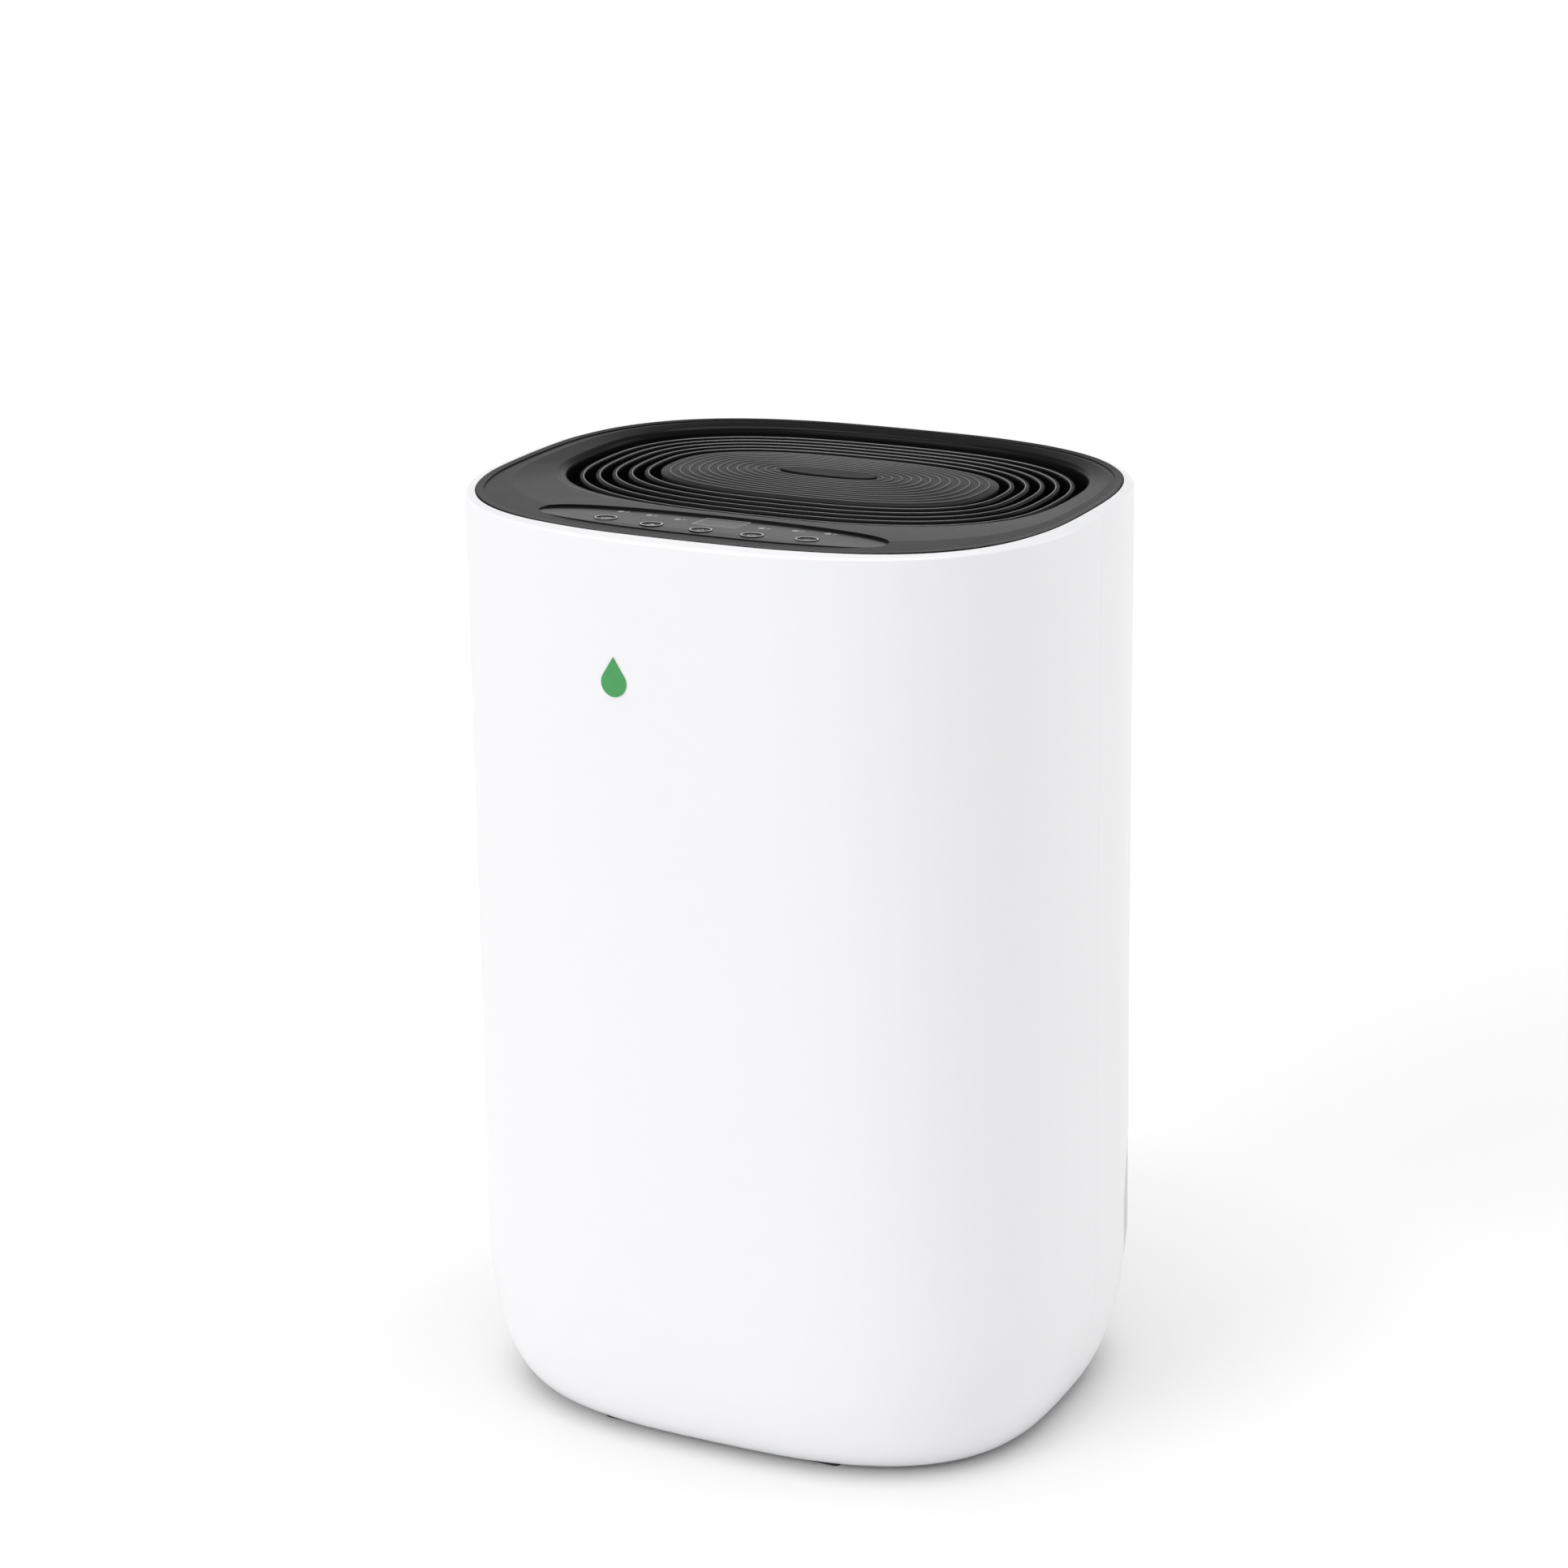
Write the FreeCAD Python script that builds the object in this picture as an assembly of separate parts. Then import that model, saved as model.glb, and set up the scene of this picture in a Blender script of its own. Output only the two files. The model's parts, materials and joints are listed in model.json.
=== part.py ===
import FreeCAD, Part
import math
import os

# Compressor dehumidifier: a rounded white two-part casing on four feet, a black sunken air outlet with
# a control strip on top, an intake grille and a pull-out water tank at the back. Millimetres, +Z up,
# front towards -Y, origin on the floor under the middle of the casing.

os.makedirs("parts", exist_ok=True)
V = FreeCAD.Vector

# ---- casing -------------------------------------------------------------------------------------
CASE_H = 432.0            # height of the rim's outer edge above the floor
CASE_BOTTOM = 2.5         # flat underside, above the floor by the height of the feet
HALF_W = 145.0            # half width at the top
HALF_D = 122.65           # half depth at the top
WIDEN = 3.48              # the sides swell a little towards the bottom
NARROW = 4.65             # the front and back draw in a little towards the bottom
SIDE_ROUND = (21.24, 69.9)    # bottom rounding of the sides: how far in, how high it starts
END_ROUND = (16.37, 34.3)     # the same for the front and back
ROUND_POWER = 1.54        # shape of the bottom rounding, 2 is an ellipse
POWER_TOP = 2.632         # superellipse exponent of the plan outline at the top
POWER_BOTTOM = 2.867
WALL = 2.5
SEAM = 0.12               # parting gap between the front and rear shells
OUTLINE_POINTS = 48
ROUND_Z = (2.5, 3.5, 5.5, 9.0, 14.0, 20.0, 28.0, 38.0, 50.0, 60.0, 72.4)   # sections of the rounded bottom
WALL_Z = (72.4, 190.0, 310.0, 430.2)                                      # sections of the walls above it

# ---- rim and top panel ---------------------------------------------------------------------------
PANEL_Z = 432.75          # top of the black panel along its edge
RIM_STEPS = ((430.2, 0.0), (430.8, 0.15), (431.3, 0.55), (431.55, 1.1), (432.55, 4.6), (432.6, 5.0))
RIM_GAP = 0.6             # between the rim's inner edge and the panel
LEDGE_Z = (424.0, 428.5)  # ledge under the rim that carries the panel
LEDGE_INSET = 12.0
PANEL = (138.7, 116.3, 2.81, 0.0)       # half width, half depth, exponent, centre y
OPENING = (118.6, 80.4, 2.66, 26.0)     # air outlet in the panel
OPENING_DROP = 4.4        # the outlet's lip lies this far below the panel's edge
SHOULDER = (0.8, 1.6)     # where the panel starts to roll into the outlet, and its drop there
PANEL_T = 2.6
THROAT_Z = 405.0
THROAT_WALL = 2.5

# ---- outlet grille -------------------------------------------------------------------------------
RING_COUNT = 5
RING_FIRST = (113.6, 75.4, 2.6, 26.0)
RING_PITCH = 6.72
RING_SHIFT = 0.66         # each ring's centre lies a little further back than the one around it
RING_W = 2.2
RING_Z = (419.0, 428.05)
RIB_COUNT = 16
RIB_W = 2.2
RIB_Z = (410.0, 420.0)
CENTRE = (79.9, 41.7, 2.6, 29.3)
CENTRE_INNER = (26.0, 8.6, 2.3, 29.3)
CENTRE_Z = (420.0, 427.9, 429.7)        # underside, edge and middle of the ridged plate
RIDGES = 12
RIDGE_H = 0.6

# ---- control strip -------------------------------------------------------------------------------
STRIP_Y = -87.0           # centre of the lens-shaped overlay
STRIP_SLOPE = 0.069       # it falls towards the back
STRIP_DROP = 0.62         # its depth below the panel's edge at y = -95
STRIP = (83.0, 21.0, 17.5, 2.35)        # half width, depth behind and before the centre, exponent
OVERLAY_T = 0.5
BUTTON_R = 5.0
BUTTON_GAP = 0.3
BUTTONS = {
    "button_timer": (-48.2, -91.9),
    "button_fan": (-24.1, -95.4),
    "button_humidity": (0.0, -96.05),
    "button_power": (24.1, -95.4),
    "button_mode": (48.2, -91.9),
}
WINDOW = (9.8, 7.2, -76.8)              # half width, half depth and centre y of the display window
LAMPS = ((20.3, -78.6), (35.3, -76.3), (49.9, -75.0))
LAMP_R = 0.8

# ---- tank ----------------------------------------------------------------------------------------
TANK_FRONT = 66.6         # front edge of the tank's cover
TANK_Z = (14.2, 137.8)
BAY_Z = (13.4, 138.6)
BAY_EDGE = 66.0
BUCKET_X = 116.0
BUCKET_Y = 18.0
BUCKET_Z = (16.0, 131.0)
BUCKET_WALL = 2.0
SCOOP = (81.0, 25.0, 46.0, 15.0)        # centre z, half length in y, half height, depth of the ellipsoid
FILL = (60.0, 66.0)       # where the condensate drops into the tank

# ---- base and back -------------------------------------------------------------------------------
BASE_TOP = 5.5            # upper face of the base pan
BOSS = (112.0, 40.0)      # x and y of the four base screws
BOSS_TOP = 13.0
FOOT = (52.1, 96.0, 17.4, 14.0)         # centre x, outer y, width, length
FOOT_STEM = 2.4
DRAIN_X, DRAIN_Z = 60.0, 151.0
DRAIN_R, DRAIN_BORE = 5.0, 3.5
GLAND_X, GLAND_Z = -85.0, 151.5
GRIP_X, GRIP_Y, GRIP_Z = 48.0, 100.0, (379.0, 400.0)

# ---- inside --------------------------------------------------------------------------------------
COIL_X = 98.0
COIL_Z = (160.0, 352.0)
COIL_D = 22.0
EVAP_Y = 81.0
COND_Y = 51.0
TUBE_PITCH = 22.0
TUBE_FIRST = 172.0
PASSES = 8
TUBE_R = 3.5
FIN_PITCH = 3.0
FIN_T = 0.3
FAN_Z = 285.0
WHEEL_R = 74.0
WHEEL_Y = (-26.0, 12.0)
BLADES = 30
SCROLL_Y = (-30.0, 20.0)
SCROLL_WALL = 2.0
COMPRESSOR = (-48.0, -42.0, 43.0)
COMPRESSOR_Z = (16.0, 166.0)
EAR_TURN = 50.0           # direction of the first of three mounting ears, in degrees
SUCTION_Z = 98.0          # where the suction line enters the compressor
DECK_Z = (141.5, 144.0)
INTAKE_X = 100.0
INTAKE_Z = (164.2, 370.0)
INTAKE_GAP = (1.7, 1.2)   # below and above the intake cover
HINGE = (118.5, 166.0)    # y and z of the intake cover's bottom hinge


# ---- helpers -------------------------------------------------------------------------------------
def save(name, shape):
    """Write one node, checked to be made of closed solids."""
    assert shape.Solids and shape.isValid(), name
    shape = shape.removeSplitter() if len(shape.Solids) == 1 else Part.makeCompound(shape.Solids)
    shape.exportStep("parts/%s.step" % name)
    print("%-20s solids %3d  volume %10.0f" % (name, len(shape.Solids), shape.Volume))
    return shape


def box(x0, x1, y0, y1, z0, z1):
    return Part.makeBox(x1 - x0, y1 - y0, z1 - z0, V(x0, y0, z0))


def cylinder(radius, start, end):
    axis = end - start
    return Part.makeCylinder(radius, axis.Length, start, axis)


def fuse(shapes):
    return shapes[0].multiFuse(list(shapes[1:])) if len(shapes) > 1 else shapes[0]


def superellipse(a, b, power, z, yc=0.0, b_front=None):
    """Closed smooth curve |x/a|^p + |y/b|^p = 1 at height z."""
    points = []
    for i in range(OUTLINE_POINTS):
        t = 2.0 * math.pi * i / OUTLINE_POINTS
        c, s = math.cos(t), math.sin(t)
        depth = b if s >= 0 or b_front is None else b_front
        x = a * math.copysign(abs(c) ** (2.0 / power), c)
        y = depth * math.copysign(abs(s) ** (2.0 / power), s)
        points.append(V(x, yc + y, z))
    curve = Part.BSplineCurve()
    curve.interpolate(Points=points, PeriodicFlag=True, Parameters=[float(i) for i in range(OUTLINE_POINTS + 1)])
    return Part.Wire(curve.toShape())


def prism(outline, z0, z1, inset=0.0):
    a, b, power, yc = outline
    face = Part.Face(superellipse(a - inset, b - inset, power, z0, yc))
    return face.extrude(V(0, 0, z1 - z0))


def blend(first, second, f):
    return tuple(p + (q - p) * f for p, q in zip(first, second))


def stacked(sections):
    """Solid through outlines stacked in order; each entry is (outline, z)."""
    wires = [superellipse(o[0], o[1], o[2], z, o[3]) for o, z in sections]
    return Part.makeLoft(wires, True, True)


def case_outline(z):
    """Half width, half depth and exponent of the casing's plan outline at height z."""
    u = 1.0 - z / CASE_H

    def rounding(size):
        s = max(0.0, 1.0 - (z - CASE_BOTTOM) / size[1])
        return size[0] * (1.0 - (1.0 - s ** ROUND_POWER) ** (1.0 / ROUND_POWER))

    a = HALF_W + WIDEN * u * u - rounding(SIDE_ROUND)
    b = HALF_D - NARROW * u * u - rounding(END_ROUND)
    return a, b, POWER_TOP + (POWER_BOTTOM - POWER_TOP) * u


def case_body(inset, low, high, lift=0.0):
    """The casing's form between two heights, drawn in by inset and raised by lift."""
    def part(levels, z0, z1, ruled):
        heights = [z0] + [z + lift for z in levels if z0 + 0.4 < z + lift < z1 - 0.4] + [z1]
        wires = []
        for z in heights:
            a, b, power = case_outline(max(CASE_BOTTOM, z - lift))
            wires.append(superellipse(a - inset, b - inset, power, z))
        return Part.makeLoft(wires, True, ruled, False, 3)

    split = ROUND_Z[-1] + lift
    if low >= split:
        return part(WALL_Z, low, high, True)
    if high <= split:
        return part(ROUND_Z, low, high, False)
    return part(ROUND_Z, low, split, False).fuse(part(WALL_Z, split, high, True))


def case_y(x, z, inset=0.0):
    """Distance of the casing's surface from the middle plane at x and z."""
    a, b, power = case_outline(z)
    return (b - inset) * (1.0 - (abs(x) / (a - inset)) ** power) ** (1.0 / power)


def bent_tube(points, radius, bend):
    """Round bar or tube centreline of straight runs joined by tangent arcs."""
    edges = []
    here = points[0]
    for before, corner, after in zip(points, points[1:], points[2:]):
        d_in = (corner - before).normalize()
        d_out = (after - corner).normalize()
        half = d_in.getAngle(d_out) / 2.0
        reach = bend * math.tan(half)
        start = corner - d_in * reach
        end = corner + d_out * reach
        inward = (d_out - d_in).normalize()
        middle = corner + inward * (bend / math.cos(half) - bend)
        edges.append(Part.LineSegment(here, start).toShape())
        edges.append(Part.Arc(start, middle, end).toShape())
        here = end
    edges.append(Part.LineSegment(here, points[-1]).toShape())
    path = Part.Wire(edges)
    direction = points[1] - points[0]
    ring = Part.Wire(Part.makeCircle(radius, points[0], direction))
    return path.makePipeShell([ring], True, False)


def mirror_x(shape):
    return shape.mirror(V(0, 0, 0), V(1, 0, 0))


# The control strip's own frame: x across, y up the slope, z out of the overlay.
STRIP_ORIGIN = V(0, STRIP_Y, PANEL_Z - STRIP_DROP - STRIP_SLOPE * (STRIP_Y + 95.0))
STRIP_FRAME = FreeCAD.Placement(STRIP_ORIGIN, FreeCAD.Rotation(V(1, 0, 0), -math.degrees(math.atan(STRIP_SLOPE))))


def on_strip(shape):
    moved = shape.copy()
    moved.Placement = STRIP_FRAME.multiply(moved.Placement)
    return moved


def strip_pin(radius, x, y, z0, z1):
    return on_strip(cylinder(radius, V(x, y - STRIP_Y, z0), V(x, y - STRIP_Y, z1)))


def strip_box(half_x, half_y, xc, yc, z0, z1):
    y = yc - STRIP_Y
    return on_strip(box(xc - half_x, xc + half_x, y - half_y, y + half_y, z0, z1))


# ---- casing shells -------------------------------------------------------------------------------
def scoop(grow):
    """Ellipsoid hollow beside the tank's right edge, where the fingers reach behind the cover."""
    ball = Part.makeSphere(1.0)
    scale = FreeCAD.Matrix()
    scale.scale(V(SCOOP[3] + grow, SCOOP[1] + grow, SCOOP[2] + grow))
    ball = ball.transformGeometry(scale)
    ball.translate(V(HALF_W - 2.0, BAY_EDGE, SCOOP[0]))
    return ball


def casing():
    """The whole white casing before it is parted, hollow and open where other pieces sit."""
    rim_bottom = case_outline(RIM_STEPS[0][0])
    rim = stacked([((rim_bottom[0] - i, rim_bottom[1] - i, rim_bottom[2], 0.0), z) for z, i in RIM_STEPS])
    outer = case_body(0.0, CASE_BOTTOM, RIM_STEPS[0][0]).fuse(rim)
    hollow = case_body(WALL, CASE_BOTTOM + WALL, LEDGE_Z[0], WALL)
    a, b, power = case_outline(LEDGE_Z[1])
    ledge_hole = prism((a, b, power, 0.0), LEDGE_Z[0] - 1.0, LEDGE_Z[1] + 1.0, LEDGE_INSET)
    rim_hole = prism(PANEL, LEDGE_Z[1], PANEL_Z + 3.0, -RIM_GAP)
    a, b, power = case_outline(CASE_BOTTOM)
    floor_hole = prism((a, b, power, 0.0), CASE_BOTTOM - 1.0, CASE_BOTTOM + WALL + 1.0, WALL)
    shell = outer.cut(hollow.multiFuse([ledge_hole, rim_hole, floor_hole]))

    # finger scoops, with their own wall behind
    inside = case_body(0.5, CASE_BOTTOM + WALL, LEDGE_Z[0], WALL)
    front_of_bay = box(0, HALF_W + 20, -HALF_D, BAY_EDGE, 0, CASE_H)
    liner = scoop(WALL).common(inside).common(front_of_bay)
    hole = scoop(0.0)
    shell = shell.multiFuse([liner, mirror_x(liner)])
    shell = shell.cut(hole.common(front_of_bay)).cut(mirror_x(hole.common(front_of_bay)))

    # tank bay, intake and services through the back
    bay = box(-HALF_W - 20, HALF_W + 20, BAY_EDGE, HALF_D + 20, BAY_Z[0], BAY_Z[1])
    intake = box(-INTAKE_X - 1.0, INTAKE_X + 1.0, 60.0, HALF_D + 20,
                 INTAKE_Z[0] - INTAKE_GAP[0], INTAKE_Z[1] + INTAKE_GAP[1])
    shell = shell.cut(bay).cut(intake)
    shell = shell.cut(cylinder(9.0, V(DRAIN_X, 90, DRAIN_Z), V(DRAIN_X, 140, DRAIN_Z)))
    shell = shell.cut(cylinder(7.2, V(GLAND_X, 90, GLAND_Z), V(GLAND_X, 140, GLAND_Z)))

    # hand grip above the intake
    pocket = box(-GRIP_X, GRIP_X, GRIP_Y, HALF_D + 20, GRIP_Z[0], GRIP_Z[1])
    pocket = pocket.makeFillet(6.0, [e for e in pocket.Edges if abs(e.tangentAt(0).y) > 0.9])
    lining = box(-GRIP_X - WALL, GRIP_X + WALL, GRIP_Y - WALL, HALF_D + 20, GRIP_Z[0] - WALL, GRIP_Z[1] + WALL)
    lining = lining.common(case_body(0.5, CASE_BOTTOM + WALL, LEDGE_Z[0], WALL))
    shell = shell.fuse(lining).cut(pocket)

    # bosses for the base screws, tied to the wall by ribs
    for sx in (-1, 1):
        for sy in (-1, 1):
            x, y = sx * BOSS[0], sy * BOSS[1]
            boss = cylinder(4.5, V(x, y, BASE_TOP), V(x, y, BOSS_TOP))
            rib = box(min(x, x + sx * 30), max(x, x + sx * 30), y - 1.0, y + 1.0, BASE_TOP, BOSS_TOP)
            post = boss.fuse(rib).common(case_body(WALL - 0.5, BASE_TOP, LEDGE_Z[0], WALL))
            shell = shell.fuse(post.common(box(-150, 150, -150, 150, BASE_TOP, BOSS_TOP)))
            shell = shell.cut(cylinder(1.6, V(x, y, 0), V(x, y, BOSS_TOP - 2.0)))
    return shell


shell = casing()
front_half = box(-200, 200, -200, -SEAM / 2, -10, 500)
rear_half = box(-200, 200, SEAM / 2, 200, -10, 500)
front_shell = save("front_shell", shell.common(front_half))
rear_shell = save("rear_shell", shell.common(rear_half))


# ---- generic badge on the front ------------------------------------------------------------------
def badge():
    """Small plain water drop standing a little proud of the front."""
    radius, tip, x, z = 6.2, 11.4, -30.0, 368.0
    angle = math.acos(radius / tip)
    left = V(-radius * math.sin(angle), 0, radius * math.cos(angle))
    right = V(radius * math.sin(angle), 0, radius * math.cos(angle))
    arc = Part.Arc(left, V(0, 0, -radius), right).toShape()
    sides = [Part.LineSegment(right, V(0, 0, tip)).toShape(), Part.LineSegment(V(0, 0, tip), left).toShape()]
    drop = Part.Face(Part.Wire([arc] + sides)).extrude(V(0, -30, 0))
    drop.translate(V(x, -100, z))
    skin = case_body(-0.5, 300.0, 430.0).cut(case_body(0.0, 300.0, 430.0))
    return drop.common(skin)


save("front_badge", badge())


# ---- base, feet and screws -----------------------------------------------------------------------
def base_pan():
    a, b, power = case_outline(CASE_BOTTOM)
    plate = prism((a, b, power, 0.0), CASE_BOTTOM, BASE_TOP, WALL + 0.4)
    rails = [box(x - 2, x + 2, 20, 76, BASE_TOP, BUCKET_Z[0] - 0.4) for x in (-96.0, -32.0, 32.0, 96.0)]
    pan = fuse([plate] + rails)
    for sx in (-1, 1):
        for sy in (-1, 1):
            pan = pan.cut(cylinder(2.0, V(sx * BOSS[0], sy * BOSS[1], 0), V(sx * BOSS[0], sy * BOSS[1], 10)))
            foot_y = sy * (FOOT[1] - FOOT[3] / 2.0)
            pan = pan.cut(cylinder(FOOT_STEM + 0.1, V(sx * FOOT[0], foot_y, 0), V(sx * FOOT[0], foot_y, 10)))
    return pan


save("base_pan", base_pan())


def foot(sx, sy):
    """Rubber pad with a push-in stem and a barb above the pan."""
    y0 = sy * FOOT[1]
    y1 = sy * (FOOT[1] - FOOT[3])
    pad = box(sx * FOOT[0] - FOOT[2] / 2, sx * FOOT[0] + FOOT[2] / 2, min(y0, y1), max(y0, y1), 0, CASE_BOTTOM)
    pad = pad.makeFillet(3.0, [e for e in pad.Edges if abs(e.tangentAt(0).z) > 0.9])
    x, y = sx * FOOT[0], (y0 + y1) / 2
    stem = cylinder(FOOT_STEM, V(x, y, CASE_BOTTOM - 0.5), V(x, y, BASE_TOP + 0.1))
    barb = Part.makeCone(3.4, 2.0, 2.5, V(x, y, BASE_TOP))
    return fuse([pad, stem, barb])


for name, sx, sy in (("foot_front_left", -1, -1), ("foot_front_right", 1, -1),
                     ("foot_rear_left", -1, 1), ("foot_rear_right", 1, 1)):
    save(name, foot(sx, sy))


def screw(radius, head_r, head_h, start, tip):
    """Pan-head screw: start is under the head, tip is the shank's end."""
    axis = (tip - start).normalize()
    shank = cylinder(radius, start - axis * 0.2, tip)
    head = Part.makeCylinder(head_r, head_h, start, axis * -1.0)
    return shank.fuse(head)


base_screws = [screw(1.5, 3.2, 1.4, V(sx * BOSS[0], sy * BOSS[1], CASE_BOTTOM), V(sx * BOSS[0], sy * BOSS[1], 10.5))
               for sx in (-1, 1) for sy in (-1, 1)]
save("base_screws", Part.makeCompound(base_screws))


# ---- partition above and in front of the tank ----------------------------------------------------
def bay_partition():
    inner = case_body(WALL + 0.4, BASE_TOP + 0.2, LEDGE_Z[0], WALL)
    wall = box(-200, 200, 10.0, 12.5, BASE_TOP + 0.2, DECK_Z[1])
    deck = box(-200, 200, 12.5, 200, DECK_Z[0], DECK_Z[1])
    body = wall.fuse(deck).common(inner)
    x, y = FILL
    return body.cut(cylinder(8.0, V(x, y, 100), V(x, y, 200)))


save("bay_partition", bay_partition())


# ---- drip tray and drain -------------------------------------------------------------------------
PAN = (-104.0, 96.0, 36.0, 94.0, DECK_Z[1], 158.0)


def coil_pan():
    x0, x1, y0, y1, z0, z1 = PAN
    tray = box(x0, x1, y0, y1, z0, z1).cut(box(x0 + 2, x1 - 2, y0 + 2, y1 - 2, z0 + 2, z1 + 1))
    props = [box(x0 + 12, x1 - 6, y - 1, y + 1, z0 + 1, z1) for y in (COND_Y, EVAP_Y)]
    props = [p.cut(box(x0 + 30, x1 - 30, y0, y1, z0, z0 + 8)) for p in props]
    x, y = FILL
    spigot = cylinder(7.6, V(x, y, DECK_Z[0] - 2.5), V(x, y, z0 + 1.5))
    tray = fuse([tray, spigot] + props)
    tray = tray.cut(cylinder(5.5, V(x, y, 100), V(x, y, z0 + 5)))
    return tray.cut(cylinder(DRAIN_BORE, V(DRAIN_X, y1 - 5, DRAIN_Z), V(DRAIN_X, y1 + 5, DRAIN_Z)))


save("coil_pan", coil_pan())

DRAIN_Y = (PAN[3], 121.0)
spout = cylinder(DRAIN_R, V(DRAIN_X, DRAIN_Y[0], DRAIN_Z), V(DRAIN_X, DRAIN_Y[1], DRAIN_Z))
collar = cylinder(6.8, V(DRAIN_X, DRAIN_Y[0], DRAIN_Z), V(DRAIN_X, DRAIN_Y[0] + 3, DRAIN_Z))
drain_bore = cylinder(DRAIN_BORE, V(DRAIN_X, DRAIN_Y[0] - 1, DRAIN_Z), V(DRAIN_X, DRAIN_Y[1] + 1, DRAIN_Z))
save("drain_spout", fuse([spout, collar]).cut(drain_bore))


def cord_gland():
    """Flanged bush through the back with the hole that the mains lead comes out of."""
    face = case_y(GLAND_X, GLAND_Z)
    body = cylinder(7.0, V(GLAND_X, face - 10, GLAND_Z), V(GLAND_X, face + 4.5, GLAND_Z))
    nut = cylinder(9.5, V(GLAND_X, face - 13, GLAND_Z), V(GLAND_X, face - 9, GLAND_Z))
    hole = cylinder(3.6, V(GLAND_X, face - 20, GLAND_Z), V(GLAND_X, face + 10, GLAND_Z))
    bush = fuse([body, nut]).cut(hole)
    return bush.cut(box(GLAND_X - 20, GLAND_X + 20, face - 20, face - 8.9, 0, DECK_Z[1] + 0.2))


save("cord_gland", cord_gland())


# ---- top panel -----------------------------------------------------------------------------------
def panel_drop(f):
    """How far the panel's surface has fallen, from its edge (f = 0) to the outlet's lip (f = 1)."""
    edge, drop = SHOULDER
    if f <= edge:
        return drop * (f / edge) ** 1.3
    s = (f - edge) / (1.0 - edge)
    return drop + (OPENING_DROP - drop) * (1.0 - math.sqrt(max(0.0, 1.0 - s * s)))


def funnel():
    """The air above the panel: its sunken surface and the throat of the outlet."""
    edge = (PANEL[0] - 0.6, PANEL[1] - 0.6, PANEL[2], PANEL[3])
    steps = (0.0, 0.2, 0.4, 0.6, 0.8, 0.87, 0.93, 0.97, 0.99, 1.0)
    sections = [(edge, PANEL_Z + 2.0)]
    sections += [(blend(edge, OPENING, f), PANEL_Z - panel_drop(f)) for f in steps]
    sections.append((OPENING, THROAT_Z - 10.0))
    return stacked(sections)


def top_panel(air):
    block = prism(PANEL, LEDGE_Z[1], PANEL_Z)
    throat = prism(OPENING, THROAT_Z, LEDGE_Z[1] + 2.0, -THROAT_WALL)
    below = air.copy()
    below.translate(V(0, 0, -PANEL_T))
    under = prism(PANEL, LEDGE_Z[1] - 1.0, PANEL_Z, 3.0).cut(below).cut(prism(OPENING, 400, 440, -THROAT_WALL))
    panel = block.fuse(throat).cut(air).cut(under)
    recess = on_strip(strip_outline(-OVERLAY_T).extrude(V(0, 0, 8.0)))
    panel = panel.cut(recess)
    for x, y in BUTTONS.values():
        panel = panel.cut(strip_pin(BUTTON_R + BUTTON_GAP, x, y, -9.0, 3.0))
    panel = panel.cut(strip_box(WINDOW[0] - 0.6, WINDOW[1] - 0.6, 0.0, WINDOW[2], -9.0, 3.0))
    for x, y in LAMPS:
        for side in (-1, 1):
            panel = panel.cut(strip_pin(LAMP_R + 0.05, side * x, y, -9.0, 3.0))
    return panel


def strip_outline(z):
    half_x, behind, before, power = STRIP
    return Part.Face(superellipse(half_x, behind, power, z, 0.0, before))


air = funnel()
save("top_panel", top_panel(air))


def control_overlay():
    sheet = on_strip(strip_outline(-OVERLAY_T).extrude(V(0, 0, OVERLAY_T)))
    sheet = sheet.common(prism(PANEL, LEDGE_Z[1], PANEL_Z).cut(air))
    for x, y in BUTTONS.values():
        sheet = sheet.cut(strip_pin(BUTTON_R + BUTTON_GAP, x, y, -3.0, 3.0))
    sheet = sheet.cut(strip_box(WINDOW[0] + 0.05, WINDOW[1] + 0.05, 0.0, WINDOW[2], -3.0, 3.0))
    for x, y in LAMPS:
        for side in (-1, 1):
            sheet = sheet.cut(strip_pin(LAMP_R + 0.05, side * x, y, -3.0, 3.0))
    return sheet


save("control_overlay", control_overlay())
save("display_window", strip_box(WINDOW[0], WINDOW[1], 0.0, WINDOW[2], -OVERLAY_T, 0.05))


def button():
    """Round cap with a raised ring around a slightly dished middle, and a stem below."""
    r = BUTTON_R
    profile = [V(0, 0, -3.6), V(r, 0, -3.6), V(r, 0, 0.1), V(r - 0.2, 0, 0.3), V(r - 0.7, 0, 0.3),
               V(r - 0.9, 0, 0.05), V(r - 2.5, 0, -0.1), V(0, 0, -0.15)]
    face = Part.Face(Part.makePolygon(profile + [profile[0]]))
    cap = face.revolve(V(0, 0, 0), V(0, 0, 1), 360)
    cap = cap if cap.isValid() and cap.Volume > 0 else cap.reversed()
    return cap.fuse(cylinder(1.6, V(0, 0, -6.2), V(0, 0, -3.0)))


for name, (x, y) in BUTTONS.items():
    cap = button()
    cap.translate(V(x, y - STRIP_Y, 0))
    save(name, on_strip(cap))

BOARD = (56.0, 18.0, -12.6, -11.0)      # half width, half depth, underside and top of the control board
lamps = [strip_pin(LAMP_R, side * x, y, BOARD[3] + 2.0, 0.0) for x, y in LAMPS for side in (-1, 1)]
save("indicator_lenses", Part.makeCompound(lamps))

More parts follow.
